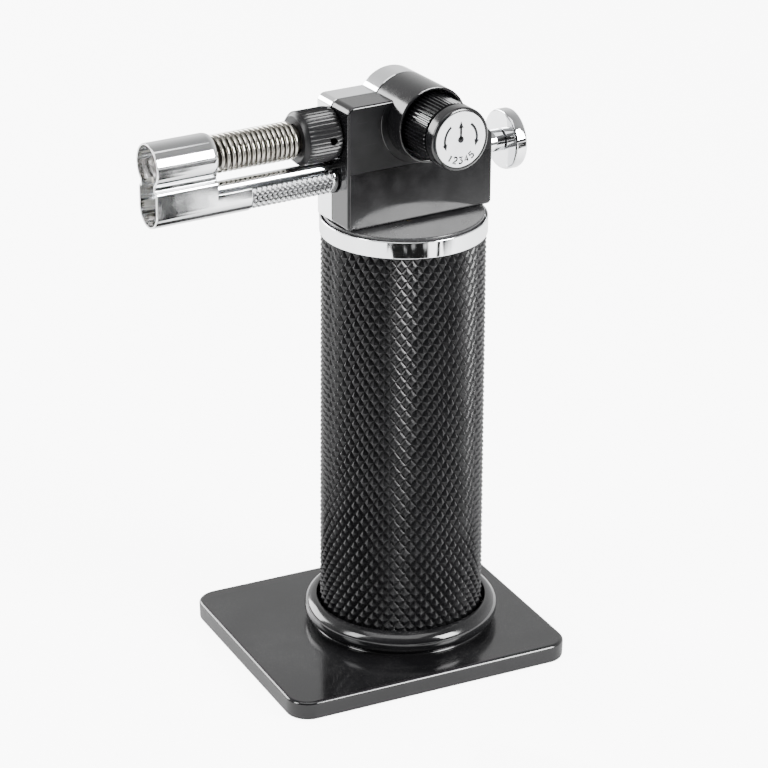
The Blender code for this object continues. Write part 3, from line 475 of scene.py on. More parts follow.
def plateLoop(inset):
    # Outline of the plate at an inset, always with the same number of points.
    halfX = stand["length"] / 2 - inset
    halfY = stand["width"] / 2 - inset
    corner = max(stand["corner"] - inset, 0.5)
    corners = []
    for sx, sy, first in ((1, 1, 0), (-1, 1, 90), (-1, -1, 180), (1, -1, 270)):
        corners.append(arcPoints(stand["shift"] + sx * (halfX - corner), sy * (halfY - corner), corner,
                                 first, first + 90, stand["onCorner"] - 1))
    points = []
    for i, arc in enumerate(corners):
        points += arc
        (ax, ay), (bx, by) = arc[-1], corners[(i + 1) % 4][0]
        for k in range(1, stand["onSide"] + 1):
            t = k / (stand["onSide"] + 1)
            points.append((ax + (bx - ax) * t, ay + (by - ay) * t))
    return points


def makeStand():
    footR = boxOf("foot_ring")[1].x
    inner = footR + stand["socketGap"]
    rim, top, edge = stand["rim"], stand["top"], stand["edge"]
    middle = inner + 0.25
    floor, under = stand["floor"], stand["under"]
    profile = [(inner - 0.5, floor), (inner - 0.15, floor + 0.1), (inner, floor + 0.5),
               (inner, rim - 0.35), (inner + 0.04, rim - 0.12), (inner + 0.14, rim - 0.02)]
    flare = stand["flare"]
    drop = rim - stand["bead"] - top - flare
    reach = math.sqrt((stand["bead"] + flare) ** 2 - drop ** 2)
    meet = math.degrees(math.atan2(drop, reach))
    outer = middle + reach
    profile += arcPoints(middle, rim - stand["bead"], stand["bead"], 88, -meet, 20)
    profile += arcPoints(outer, top + flare, flare, 180 - meet, 270, 12)[1:]
    profile += [(outer + 0.25, top)]
    angles = [math.atan2(y, x) for x, y in plateLoop(0)]
    bm = bmesh.new()
    loops = [[(r * math.cos(a), r * math.sin(a), z) for a in angles] for r, z in profile]
    layers = [(edge + 0.2, top), (edge, top), (edge * 0.62, top - edge * 0.07),
              (edge * 0.29, top - edge * 0.29), (edge * 0.07, top - edge * 0.62), (0, top - edge),
              (0.08, under + 0.45), (0.2, under + 0.15), (0.5, under), (stand["padInset"], under),
              (stand["padInset"], under + 0.45)]
    for inset, z in layers:
        loops.append([(x, y, z) for x, y in plateLoop(inset)])
    loftLoops(bm, loops)
    turn = Matrix.Rotation(math.radians(stand["turn"]), 3, "Z")
    bmesh.ops.rotate(bm, verts=bm.verts, cent=(0, 0, 0), matrix=turn)
    finishPiece(bm, "table_stand", plastic, "stand", ["stand_base"], 50)


makeStand()
print("stand made")


grip = {"columns": 94, "halfPitch": 1.75, "depth": 0.85, "tip": 0.1, "wall": 1.2}


def latticeRidges(bm, verts, isPeak, sink):
    # Split each face between its two groove corners and push the grooves in.
    bm.verts.index_update()
    for face in list(bm.faces):
        low = [v for v in face.verts if not isPeak[v.index]]
        if len(face.verts) == 4 and len(low) == 2:
            bmesh.utils.face_split(face, low[0], low[1])
    for v in verts:
        if not isPeak[v.index]:
            sink(v)


def makeGrip():
    low, high = boxOf("grip_sleeve")
    footR = high.x
    neckR = boxOf("collar_ring")[1].x - 0.2
    rows = round((high.z - low.z) / grip["halfPitch"])
    bm = bmesh.new()
    layer = bm.verts.layers.float.new("ridge")
    profile = [(footR + (neckR - footR) * i / rows, low.z + (high.z - low.z) * i / rows)
               for i in range(rows + 1)]
    spinProfile(bm, profile, "Z", (0, 0), grip["columns"], closed=False)
    bm.verts.index_update()
    bm.normal_update()
    isPeak = []
    for v in bm.verts:
        column = round(math.atan2(v.co.y, v.co.x) / math.tau * grip["columns"])
        row = round((v.co.z - low.z) / (high.z - low.z) * rows)
        isPeak.append((column + row) % 2 == 0)

    def sink(v):
        flat = Vector((v.co.x, v.co.y, 0)).normalized()
        v.co -= flat * grip["depth"]

    latticeRidges(bm, list(bm.verts), isPeak, sink)
    peaks = [v for v in bm.verts if isPeak[v.index] and not v.is_boundary]
    bmesh.ops.bevel(bm, geom=peaks, offset=grip["tip"], segments=1, profile=0.5, affect="VERTICES",
                    clamp_overlap=True, material=-1)
    for v in bm.verts:
        t = (v.co.z - low.z) / (high.z - low.z)
        sunk = footR + (neckR - footR) * t - math.hypot(v.co.x, v.co.y)
        v[layer] = max(0.0, 1 - sunk / grip["depth"])
    for z in (low.z, high.z):
        rim = [e for e in bm.edges if e.is_boundary and all(abs(v.co.z - z) < 0.01 for v in e.verts)]
        grown = bmesh.ops.extrude_edge_only(bm, edges=rim)["geom"]
        for v in vertsIn(grown):
            flat = Vector((v.co.x, v.co.y, 0)).normalized()
            inside = neckR - grip["wall"]
            v.co = Vector((flat.x * inside, flat.y * inside, z))
            v[layer] = 0.0
    inner = [e for e in bm.edges if e.is_boundary]
    bmesh.ops.bridge_loops(bm, edges=inner)
    for e in bm.edges:  # every side of a pyramid is flat
        e.smooth = False
    finishPiece(bm, "knurled_grip", knurledGrip, "torch", ["grip_sleeve"], 0,
                weighted=False)


makeGrip()

trim = {"lipTall": 4.0, "lipWide": 1.95, "gap": 0.3, "collarIn": 0.9, "collarOver": 0.25,
        "collarStep": 1.4, "deckBore": 3.7, "deckSkirtR": 17.5, "deckStep": 1.7, "discBore": 4.3,
        "discDishR": 6.4, "discDish": 0.6, "discSlope": 0.8}


def makeFootTrim():
    low, high = boxOf("foot_ring")
    inner = boxOf("foot_plate")[1].x + trim["gap"]
    lip, step = high.x - trim["lipWide"], low.z + trim["lipTall"]
    profile = [(inner, low.z), (high.x, low.z), (high.x, step), (lip, step), (lip, high.z), (inner, high.z)]
    turnedPiece("foot_trim", profile, "Z", (0, 0), 0.35, chrome, "foot", ["foot_ring"])


def makeNeck():
    low, high = boxOf("collar_ring")
    deckLow, deckHigh = boxOf("head_deck")
    inner, over = deckHigh.x - trim["collarIn"], deckHigh.x + trim["collarOver"]
    step = low.z + trim["collarStep"]
    profile = [(inner, low.z), (high.x, low.z), (high.x, high.z), (over, high.z), (over, step),
               (inner, step)]
    turnedPiece("neck_collar", profile, "Z", (0, 0), 0.22, chrome, "torch", ["collar_ring"])
    bore, skirt, step = trim["deckBore"], trim["deckSkirtR"], low.z + trim["deckStep"]
    profile = [(bore, deckLow.z), (skirt, deckLow.z), (skirt, step), (deckHigh.x, step),
               (deckHigh.x, deckHigh.z), (bore, deckHigh.z)]
    turnedPiece("black_deck", profile, "Z", (0, 0), 0.30, deckPlastic, "torch",
                ["head_deck"])


def makeFootDisc():
    low, high = boxOf("foot_plate")
    bore, slope = trim["discBore"], trim["discSlope"]
    profile = [(bore, low.z + trim["discDish"]), (trim["discDishR"], low.z), (high.x - slope, low.z),
               (high.x, low.z + slope), (high.x, high.z), (bore, high.z)]
    turnedPiece("foot_disc", profile, "Z", (0, 0), 0.15, plastic, "torch", ["foot_plate"])


makeFootTrim()
makeNeck()
makeFootDisc()
print("handle made")


head = {"near": -7.3, "proud": 0.12, "corner": 1.9, "foot": 1.0, "round": 0.5, "wall": 1.6,
        "rearTop": 125.5, "boss": 8.7, "knobX": -0.3, "knobZ": 132.0, "shroudWall": 0.65,
        "topFlat": 137.2}


def headOutline(inset):
    low, high = boxOf("back_cover")
    bottom, back = low.z + inset, high.x - inset
    top = head["topFlat"] - inset
    boss = head["boss"] - inset
    corner = max(head["corner"] - inset, 0.25)
    foot = max(head["foot"] - inset, 0.25)
    rear = head["rearTop"] - inset * 0.4
    reach = Vector((back - head["knobX"], rear - head["knobZ"]))
    lean = math.degrees(math.atan2(reach.y, reach.x) + math.acos(boss / reach.length))
    start = math.degrees(math.asin((top - head["knobZ"]) / boss))
    points = arcPoints(-back + foot, bottom + foot, foot, 270, 180, 5)
    points += arcPoints(-back + corner, top - corner, corner, 180, 90, 8)
    points += arcPoints(head["knobX"], head["knobZ"], boss, 180 - start, lean, 36)
    points += [(back - 0.35, rear + 0.33), (back - 0.07, rear + 0.05), (back, rear - 0.35)]
    points += arcPoints(back - foot, bottom + foot, foot, 0, -90, 5)
    return points


def makeCover(bm, outside, split, wall):
    # One half of the head as a tray with a rounded outer edge.
    lean = math.copysign(1, split - outside)
    layers = []
    for i in range(5):
        a = math.radians(90 * i / 4)
        inset = head["round"] * (1 - math.sin(a))
        layers.append((inset, outside + lean * head["round"] * (1 - math.cos(a))))
    layers += [(0, split - lean * 0.12), (0.12, split), (wall, split), (wall, outside + lean * wall)]
    loops = [[(x, y, z) for x, z in headOutline(inset)] for inset, y in layers]
    loftLoops(bm, loops)


def makeSideCover():
    low, high = boxOf("side_cover")
    near, rim = head["near"], low.y
    centre = (head["knobX"], head["knobZ"])
    ring = head["boss"] + 1.5
    left, bottom = -high.x + 0.55, low.z + 0.55
    step = head["knobZ"] - ring
    panel = [(left, bottom), (-left, bottom), (-left, step)]
    panel += [(centre[0] + 1.2, step), (centre[0], step + 0.05), (centre[0] - 1.2, step), (left, step)]
    crescent = arcPoints(*centre, ring, 152, 363, 60) + arcPoints(*centre, head["boss"] - 0.2, 363, 152, 60)
    bm = bmesh.new()
    extrudeOutline(bm, panel, "Y", near + 0.3, near - head["proud"])
    extrudeOutline(bm, crescent, "Y", near + 0.3, near - head["proud"])
    roundEdges(bm, 0.09, 1)
    makeCover(bm, near, high.y, head["wall"])
    boss = head["boss"]
    bore = boss - head["shroudWall"]
    shroud = [(bore, near + 0.3), (bore, rim + 0.2), (bore + 0.06, rim + 0.06), (bore + 0.2, rim),
              (boss - 0.25, rim), (boss - 0.07, rim + 0.07), (boss, rim + 0.25), (boss, near + 1.2),
              (bore, near + 1.2)]
    spinProfile(bm, shroud, "Y", centre)
    seat = bore + 0.05
    spinProfile(bm, [(0, near - 0.3), (seat, near - 0.3), (seat, near + 0.2), (0, near + 0.2)], "Y", centre)
    cover = finishPiece(bm, "near_cover", plastic, "torch", ["side_cover"], 35)
    cover.data.materials.append(flutePlastic)
    for face in cover.data.polygons:  # the deep bore behind the knob is left satin by the mould
        x, y, z = face.center / mm
        if y < near and math.hypot(x - centre[0], z - centre[1]) < bore + 0.03:
            face.material_index = 1


def makeBackCover():
    low, high = boxOf("back_cover")
    bm = bmesh.new()
    makeCover(bm, high.y, low.y, head["wall"])
    finishPiece(bm, "far_cover", chrome, "torch", ["back_cover"], 35)


makeSideCover()
makeBackCover()


screw = {"shankR": 0.9, "point": 0.5, "headTall": 1.2, "round": 0.35, "recessR": 0.95, "recessDeep": 0.95,
         "armDeep": 0.8, "armR": 0.97, "waist": 0.55}


def pullIn(v, centre, keep):
    # Move a vertex along its spoke in X and Z.
    v.co.x = centre[0] + (v.co.x - centre[0]) * keep
    v.co.z = centre[1] + (v.co.z - centre[1]) * keep


def makeScrew(node):
    low, high = boxOf(node)
    middle = (low + high) / 2
    radius = (high.x - low.x) / 2
    centre = (middle.x, middle.z)
    bm = bmesh.new()
    shank, under, edge = screw["shankR"], high.y - screw["headTall"], screw["round"]
    profile = [(0, low.y), (shank, low.y + screw["point"]), (shank, under), (radius, under),
               (radius, high.y - edge), (radius - edge, high.y), (screw["recessR"], high.y),
               (0.7, high.y - 0.12), (0.5, high.y - 0.75), (0, high.y - screw["recessDeep"])]
    spinProfile(bm, profile, "Y", centre, 40)
    for v in bm.verts:  # the recess is drawn out into a cross
        dx, dz = v.co.x - centre[0], v.co.z - centre[1]
        if v.co.y > high.y - screw["armDeep"] and 0.4 < math.hypot(dx, dz) < screw["armR"]:
            arms = abs(math.cos(2 * math.atan2(dz, dx))) ** 3
            pullIn(v, centre, screw["waist"] + (1 - screw["waist"]) * arms)
    finishPiece(bm, node + "_head", springSteel, "torch", [node], 35)


for tag in ("front", "rear", "top"):
    makeScrew("cover_screw_" + tag)
print("head made")


knob = {"teeth": 50, "toothDepth": 0.55, "capTall": 3.1, "groove": 0.7, "grooveDepth": 0.5,
        "recess": 0.35, "labelR": 6.3, "stroke": 0.58, "digitStroke": 0.4, "ink": 0.03,
        "sweepR": 4.1, "digitR": 4.75}
knobCentre = (head["knobX"], head["knobZ"])


def makeKnob():
    low, high = boxOf("gas_knob")
    radius = (high.x - low.x) / 2
    face, back = low.y, high.y
    capEnd = face + knob["capTall"]
    skirt = capEnd + knob["groove"]
    waist = radius - knob["grooveDepth"]
    well = knob["labelR"] + 0.12
    bm = bmesh.new()
    profile = [(0, face + knob["recess"]), (well, face + knob["recess"]), (well, face + 0.08),
               (well + 0.08, face)]
    profile += [(radius - 0.62, face), (radius - 0.3, face + 0.09), (radius - 0.09, face + 0.3),
                (radius, face + 0.62), (radius, capEnd - 0.25), (radius - 0.2, capEnd),
                (waist, capEnd + 0.05), (waist, skirt - 0.05), (radius - 0.12, skirt),
                (radius, skirt + 0.15)]
    rows = 6
    for i in range(1, rows + 1):
        profile.append((radius, skirt + 0.15 + (back - 0.4 - skirt - 0.15) * i / rows))
    profile += [(radius - 0.4, back), (0, back)]
    steps = knob["teeth"] * 4
    spinProfile(bm, profile, "Y", knobCentre, steps)
    weld(bm)
    for v in bm.verts:
        dx, dz = v.co.x - knobCentre[0], v.co.z - knobCentre[1]
        step = round(math.atan2(dz, dx) / math.tau * steps) % 4
        if v.co.y > skirt + 0.1 and math.hypot(dx, dz) > radius - 0.2 and step in (1, 2):
            pullIn(v, knobCentre, (radius - knob["toothDepth"]) / radius)
    finishPiece(bm, "knob_cap", plastic, "knob", ["gas_knob"], 30)


def makeLabel():
    low, high = boxOf("knob_label")
    radius = (high.x - low.x) / 2
    profile = [(0, high.y), (radius, high.y), (radius, low.y + 0.03), (radius - 0.03, low.y), (0, low.y)]
    turnedPiece("dial_label", profile, "Y", knobCentre, 0, labelFilm, "knob", ["knob_label"])
    return low.y


def addStrip(bm, points, width, y):
    # A thin printed line through points in X and Z.
    left, right = [], []
    for i, p in enumerate(points):
        ahead = Vector(points[min(i + 1, len(points) - 1)]) - Vector(points[max(i - 1, 0)])
        side = Vector((-ahead.y, ahead.x)).normalized() * width / 2
        left.append((p[0] + side.x, p[1] + side.y))
        right.append((p[0] - side.x, p[1] - side.y))
    extrudeOutline(bm, left + right[::-1], "Y", y, y - knob["ink"])


def addHead(bm, tip, heading, size, y):
    # A printed arrow head.
    a = math.radians(heading)
    ahead = Vector((math.cos(a), math.sin(a)))
    side = Vector((-ahead.y, ahead.x))
    base = Vector(tip) - ahead * size
    corners = [Vector(tip), base + side * size * 0.42, base - side * size * 0.42]
    extrudeOutline(bm, [(c.x, c.y) for c in corners], "Y", y, y - knob["ink"])


digits = (  # strokes of the plain numbers 1 to 5, in a box 1 wide and 1.5 tall
    [[(0.2, 1.2), (0.55, 1.5), (0.55, 0)]],
    [[(0, 1.2), (0.25, 1.5), (0.75, 1.5), (1, 1.15), (0.9, 0.8), (0, 0), (1, 0)]],
    [[(0, 1.5), (1, 1.5), (0.45, 0.9), (0.9, 0.75), (1, 0.35), (0.7, 0), (0.25, 0), (0, 0.25)]],
    [[(0.75, 0), (0.75, 1.5), (0, 0.45), (1, 0.45)]],
    [[(0.95, 1.5), (0.1, 1.5), (0.05, 0.85), (0.7, 0.9), (1, 0.5), (0.8, 0.08), (0.3, 0), (0, 0.2)]],
)


def makePrint(face):
    cx, cz = knobCentre
    y = face + 0.01
    stroke = knob["stroke"]
    bm = bmesh.new()
    extrudeOutline(bm, arcPoints(cx, cz, 0.76, 0, 345, 23), "Y", y, y - knob["ink"])
    addStrip(bm, [(cx, cz), (cx, cz + 3.0)], stroke, y)
    addHead(bm, (cx, cz + 4.2), 90, 1.6, y)
    for first, last in ((128, 194), (52, -14)):
        addStrip(bm, arcPoints(cx, cz, knob["sweepR"], first, last, 14), stroke, y)
        a = math.radians(last)
        turn = -1 if last < 0 else 1
        spot = (cx + knob["sweepR"] * math.cos(a), cz + knob["sweepR"] * math.sin(a))
        ahead = math.radians(last + 90 * turn)
        tip = (spot[0] + 1.1 * math.cos(ahead), spot[1] + 1.1 * math.sin(ahead))
        addHead(bm, tip, math.degrees(ahead), 1.5, y)
    for i, digit in enumerate(digits):
        a = math.radians(235 + 70 * i / (len(digits) - 1))
        spot = Vector((cx + knob["digitR"] * math.cos(a), cz + knob["digitR"] * math.sin(a)))
        right = Vector((-math.sin(a), math.cos(a)))
        up = Vector((-math.cos(a), -math.sin(a)))
        for line in digit:
            placed = [spot + right * (u - 0.5) * 0.85 + up * (v - 0.75) * 0.95 for u, v in line]
            addStrip(bm, [(p.x, p.y) for p in placed], knob["digitStroke"], y)
    finishPiece(bm, "dial_print", printInk, "knob", [], 30, weighted=False)


makeKnob()
makePrint(makeLabel())
print("knob made")


burner = {"z": 129.8, "tubeR": 3.1, "tubeWall": 0.55, "wire": 0.43, "turns": 16, "openTurns": 3,
          "openPitch": 1.34}
burnerCentre = (0, burner["z"])


def makeSpring():
    # Coil the wire with a few open turns at the guard and closer turns after.
    low, high = boxOf("cooling_spring")
    radius = (high.y - low.y) / 2 - burner["wire"]
    start, end = low.x + burner["wire"], high.x - burner["wire"]
    turns = burner["turns"]
    perTurn = 40
    bm = bmesh.new()
    ring = []
    for i in range(10):
        a = math.tau * i / 10
        ring.append(bm.verts.new((start + burner["wire"] * math.cos(a),
                                  radius + burner["wire"] * math.sin(a), burner["z"])))
    edges = [bm.edges.new((ring[i - 1], ring[i])) for i in range(10)]
    bmesh.ops.spin(bm, geom=ring + edges, cent=(0, 0, burner["z"]), axis=(1, 0, 0),
                   dvec=(1.0 / perTurn, 0, 0), angle=math.tau * turns, steps=perTurn * turns,
                   use_merge=False)
    bmesh.ops.holes_fill(bm, edges=[e for e in bm.edges if e.is_boundary])
    opened = burner["openTurns"] * burner["openPitch"]
    closed = (end - start - opened) / (turns - burner["openTurns"])
    for v in bm.verts:  # the spin's even pitch of 1 is stretched into the real one
        angle = math.atan2(v.co.z - burner["z"], v.co.y) / math.tau
        count = round((v.co.x - start) - angle) + angle
        count = min(max(count, 0), turns)
        offset = v.co.x - start - count
        if count < burner["openTurns"]:
            centre = count * burner["openPitch"]
        else:
            centre = opened + (count - burner["openTurns"]) * closed
        v.co.x = start + centre + offset
    finishPiece(bm, "cooling_coil", springSteel, "torch", ["cooling_spring"], 60,
                weighted=False)


makeSpring()

tip = {"bore": 1.2, "faceR": 2.0, "dish": 0.8, "coneR": 2.2, "radius": 3.8, "grooveFrom": 3.4,
       "grooveTo": 2.8, "grooveDeep": 0.35, "flange": 1.6, "tailR": 2.25}


def makePipe(node, name, wall, centre, edge, material, steps):
    # A plain length of pipe along X.
    low, high = boxOf(node)
    radius = (high.z - low.z) / 2
    profile = [(radius - wall, low.x), (radius, low.x), (radius, high.x), (radius - wall, high.x)]
    turnedPiece(name, profile, "X", centre, edge, material, "torch", [node], steps)


def makeTip():
    low, high = boxOf("burner_tip")
    radius, flangeR = tip["radius"], (high.y - low.y) / 2
    seat = boxOf("burner_tube")[0].x - 0.3
    shelf = seat - tip["flange"]
    first, last = seat - tip["grooveFrom"], seat - tip["grooveTo"]
    dish = low.x + tip["dish"]
    profile = [(tip["bore"], dish), (tip["faceR"], dish), (tip["coneR"], low.x),
               (radius - 0.5, low.x), (radius, low.x + 0.5), (radius, first),
               (radius - tip["grooveDeep"], (first + last) / 2), (radius, last), (radius, shelf),
               (flangeR, shelf), (flangeR, seat), (tip["tailR"], seat), (tip["tailR"], high.x),
               (tip["bore"], high.x)]
    turnedPiece("flame_holder", profile, "X", burnerCentre, 0.1, tintedSteel, "torch",
                ["burner_tip"], 72)


makePipe("burner_tube", "mixing_tube", burner["tubeWall"], burnerCentre, 0.12, darkSteel, 64)
makeTip()

collar = {"flutes": 36, "depth": 0.4, "nose": 1.0, "tail": 0.9, "holeR": 0.9, "holeX": -21.6}


def makeAirCollar():
    low, high = boxOf("air_collar")
    radius = (high.y - low.y) / 2
    bore = burner["tubeR"] + 0.3
    nose = low.x + collar["nose"]
    tail = high.x - collar["tail"]
    profile = [(bore, low.x), (radius - 0.95, low.x), (radius - 0.75, low.x + 0.12),
               (radius - 0.12, nose - 0.2), (radius, nose), (radius, nose + 0.35)]
    rows = 5
    for i in range(1, rows + 1):
        profile.append((radius, nose + 0.35 + (tail - nose - 0.7) * i / rows))
    profile += [(radius, tail), (radius - 0.25, high.x), (bore, high.x)]
    steps = collar["flutes"] * 6
    bm = bmesh.new()
    spinProfile(bm, profile, "X", burnerCentre, steps)
    weld(bm)
    cuts = (0, 0.14, 0.55, 1.0, 0.55, 0.14)
    for v in bm.verts:
        dy, dz = v.co.y, v.co.z - burner["z"]
        step = round(math.atan2(dz, dy) / math.tau * steps) % 6
        if nose + 0.1 < v.co.x < tail + 0.05 and math.hypot(dy, dz) > radius - 0.1:
            keep = (radius - collar["depth"] * cuts[step]) / radius
            v.co.y = dy * keep
            v.co.z = burner["z"] + dz * keep
    piece = finishPiece(bm, "air_ring", flutePlastic, "air_ring", ["air_collar"], 30,
                        weighted=False)
    drill(piece, collar["holeR"], (collar["holeX"], -radius - 1, burner["z"]), radius)


def drill(piece, radius, mouth, depth):
    # Cut a round hole along +Y and keep the result as the piece's mesh.
    bm = bmesh.new()
    x, y, z = mouth
    spinProfile(bm, [(0, y), (radius, y), (radius, y + depth), (0, y + depth)], "Y", (x, z), 28)
    cleanMesh(bm)
    bit = meshObject(bm, "drillBit")
    cut = piece.modifiers.new("hole", "BOOLEAN")
    cut.operation = "DIFFERENCE"
    cut.solver = "EXACT"
    cut.object = bit
    bpy.context.view_layer.update()
    ready = piece.evaluated_get(bpy.context.evaluated_depsgraph_get())
    piece.data = bpy.data.meshes.new_from_object(ready)
    piece.modifiers.clear()
    bpy.data.objects.remove(bit)
    shadeFaces(piece)


makeAirCollar()

guard = {"upper": 5.1, "lower": 4.2, "neck": 3.3, "channelZ": 119.9, "shoulder": 125.0, "wall": 0.45,
         "rear": -49.3, "step": 121.9, "taper": 1.6, "pinch": 0.7, "edge": 0.13}


def guardSection():
    edge = math.degrees(math.acos(guard["neck"] / guard["upper"]))
    bend = guard["lower"] - guard["neck"]
    points = arcPoints(0, burner["z"], guard["upper"], -edge, 180 + edge, 56)
    points += arcPoints(-guard["neck"], guard["shoulder"] - bend, bend, 90, 180, 6)
    points += [(-guard["lower"], guard["step"])]
    points += arcPoints(0, guard["channelZ"], guard["lower"], 180, 360, 36)
    points += [(guard["lower"], guard["step"])]
    points += arcPoints(guard["neck"], guard["shoulder"] - bend, bend, 0, 90, 6)
    return points


def makeGuard():
    low, high = boxOf("flame_guard")
    bm = bmesh.new()
    rear = guard["rear"]
    start = rear - guard["taper"]
    stations = [low.x + step for step in (0, 0.25, 1.0, 3, 7)] + [start]
    stations += [rear + step for step in (-1.1, -0.6, -0.25, 0, 2.5, 5.5)] + [high.x]
    loftLoops(bm, [[(x, y, z) for y, z in guardSection()] for x in stations], closed=False)
    over = [f for f in bm.faces if f.calc_center_median().x > rear
            and f.calc_center_median().z > guard["step"]]
    bmesh.ops.delete(bm, geom=over, context="FACES")
    for v in bm.verts:  # the rear closes in over the spring
        dz = v.co.z - burner["z"]
        if start < v.co.x < rear + 0.1 and dz > -guard["neck"]:
            t = (v.co.x - start) / guard["taper"]
            keep = 1 - guard["pinch"] / guard["upper"] * (1 - math.sqrt(max(0, 1 - t * t)))
            v.co.y *= keep
            v.co.z = burner["z"] + dz * keep
    bmesh.ops.recalc_face_normals(bm, faces=bm.faces)
    outwards = sum(f.normal.z * (f.calc_center_median().z - guard["shoulder"]) for f in bm.faces)
    if outwards < 0:
        bmesh.ops.reverse_faces(bm, faces=bm.faces)
    bmesh.ops.solidify(bm, geom=bm.faces, thickness=guard["wall"])
    roundEdges(bm, guard["edge"], 2, 50)
    finishPiece(bm, "guard_sleeve", flameChrome, "torch", ["flame_guard"], 40)


makeGuard()

arm = {"radius": 4.0, "wall": 0.6, "top": 121.6, "front": -40.7, "end": -20.6, "across": 26, "along": 32,
       "depth": 0.3, "tongue": 5.0, "capTop": 119.3, "capEnd": -19.3,
       "tang": [(-1.5, 116.0), (1.5, 116.0), (1.5, 118.5), (-1.5, 118.5)]}


def makeArmPieces():
    high = boxOf("guard_arm")[1]
    edge = math.degrees(math.asin((arm["top"] - guard["channelZ"]) / arm["radius"]))
    first, last = math.radians(180 - edge), math.radians(360 + edge)
    thin = arm["radius"] - arm["wall"]
    bm = bmesh.new()
    layer = bm.verts.layers.float.new("ridge")
    bmesh.ops.create_grid(bm, x_segments=arm["along"], y_segments=arm["across"], size=0.5)
    bm.verts.index_update()
    isPeak = [(round((v.co.x + 0.5) * arm["along"]) + round((v.co.y + 0.5) * arm["across"])) % 2 == 0
              for v in bm.verts]
    turnOf = {}
    for v in bm.verts:
        a = first + (last - first) * (v.co.y + 0.5)
        turnOf[v] = a
        x = arm["front"] + (arm["end"] - arm["front"]) * (v.co.x + 0.5)
        v.co = Vector((x, arm["radius"] * math.cos(a), guard["channelZ"] + arm["radius"] * math.sin(a)))
        v[layer] = 1.0 if isPeak[v.index] else 0.0

    def sink(v):
        v.co.y -= arm["depth"] * math.cos(turnOf[v])
        v.co.z -= arm["depth"] * math.sin(turnOf[v])

    latticeRidges(bm, list(bm.verts), isPeak, sink)
    border = [e for e in bm.edges if e.is_boundary]
    grown = bmesh.ops.extrude_edge_only(bm, edges=border)["geom"]
    for v in vertsIn(grown):
        a = math.atan2(v.co.z - guard["channelZ"], v.co.y)
        v.co.y = thin * math.cos(a)
        v.co.z = guard["channelZ"] + thin * math.sin(a)
        v[layer] = 0.4
    rims = [e for e in bm.edges if e.is_boundary]
    ends = [e for e in rims if abs(e.verts[0].co.x - e.verts[1].co.x) < 1e-4]
    bmesh.ops.bridge_loops(bm, edges=ends)
    finishPiece(bm, "knurled_trough", knurledArm, "torch", ["guard_arm"], 25, weighted=False)

    plain = bmesh.new()
    front = arm["front"] - arm["tongue"]
    tongueR = guard["lower"] - guard["wall"] - 0.25
    end = arm["end"]
    outline = arcPoints(0, guard["channelZ"], tongueR, 180 - edge, 360 + edge, 40)
    outline += arcPoints(0, guard["channelZ"], tongueR - 0.5, 360 + edge, 180 - edge, 40)
    extrudeOutline(plain, outline, "X", front, arm["front"] + 1.2)
    capTop = math.degrees(math.asin((arm["capTop"] - guard["channelZ"]) / arm["radius"]))
    outline = arcPoints(0, guard["channelZ"], arm["radius"] - 0.08, 180 - capTop, 360 + capTop, 40)
    extrudeOutline(plain, outline, "X", end - 0.1, arm["capEnd"])
    outline = arcPoints(0, guard["channelZ"], arm["radius"] - 0.08, 180 - edge, 360 + edge, 40)
    outline += arcPoints(0, guard["channelZ"], thin + 0.06, 360 + edge, 180 - edge, 40)
    extrudeOutline(plain, outline, "X", end - 0.1, arm["capEnd"] - 0.05)
    extrudeOutline(plain, arm["tang"], "X", arm["capEnd"] - 0.6, high.x)
    roundEdges(plain, 0.14, 2, 50)
    finishPiece(plain, "trough_ends", chrome, "torch", [], 40)


makeArmPieces()


def makeSleeve(centre):
    low, high = boxOf("electrode_insulator")
    radius = (high.z - low.z) / 2
    bore = 0.65
    profile = [(bore, low.x), (radius - 0.1, low.x), (radius, low.x + 0.3), (radius, high.x),
               (bore, high.x)]
    turnedPiece("insulator_sleeve", profile, "X", centre, 0.05, ceramic, "torch",
                ["electrode_insulator"], 32)


conduitLow, conduitHigh = boxOf("igniter_conduit")
conduitCentre = (0, (conduitLow.z + conduitHigh.z) / 2)
makePipe("igniter_conduit", "conduit_tube", 0.45, conduitCentre, 0.12, chrome, 48)
makeSleeve(conduitCentre)
print("burner made")


button = {"rim": 3.0, "dome": 1.2, "z": 120.5, "socketR": 1.8, "socketDeep": 2.1,
          "grooveFrom": 19.6, "grooveTo": 20.8, "grooveDeep": 0.25, "tailR": 1.5, "tailLong": 2.0}


def makeButton():
    low, high = boxOf("igniter_button")
    radius = (high.y - low.y) / 2
    rim = low.x + button["rim"]
    crownR = radius - 0.4
    sphere = (radius ** 2 + button["dome"] ** 2) / (2 * button["dome"])
    socketR, socketEnd = button["socketR"], low.x + button["socketDeep"]
    profile = [(0, socketEnd), (socketR, socketEnd), (socketR, low.x + 0.05), (2.6, low.x),
               (radius - 0.6, low.x), (radius - 0.15, low.x + 0.2), (radius, low.x + 0.6),
               (radius, rim - 0.45), (radius - 0.12, rim - 0.12), (crownR, rim + 0.05)]
    for i in range(1, 14):
        r = crownR * (1 - i / 14)
        profile.append((r, rim + button["dome"] - sphere + math.sqrt(sphere ** 2 - r ** 2)))
    profile.append((0, high.x))
    turnedPiece("push_button", profile, "X", (0, button["z"]), 0, chrome, "button",
                ["igniter_button"])


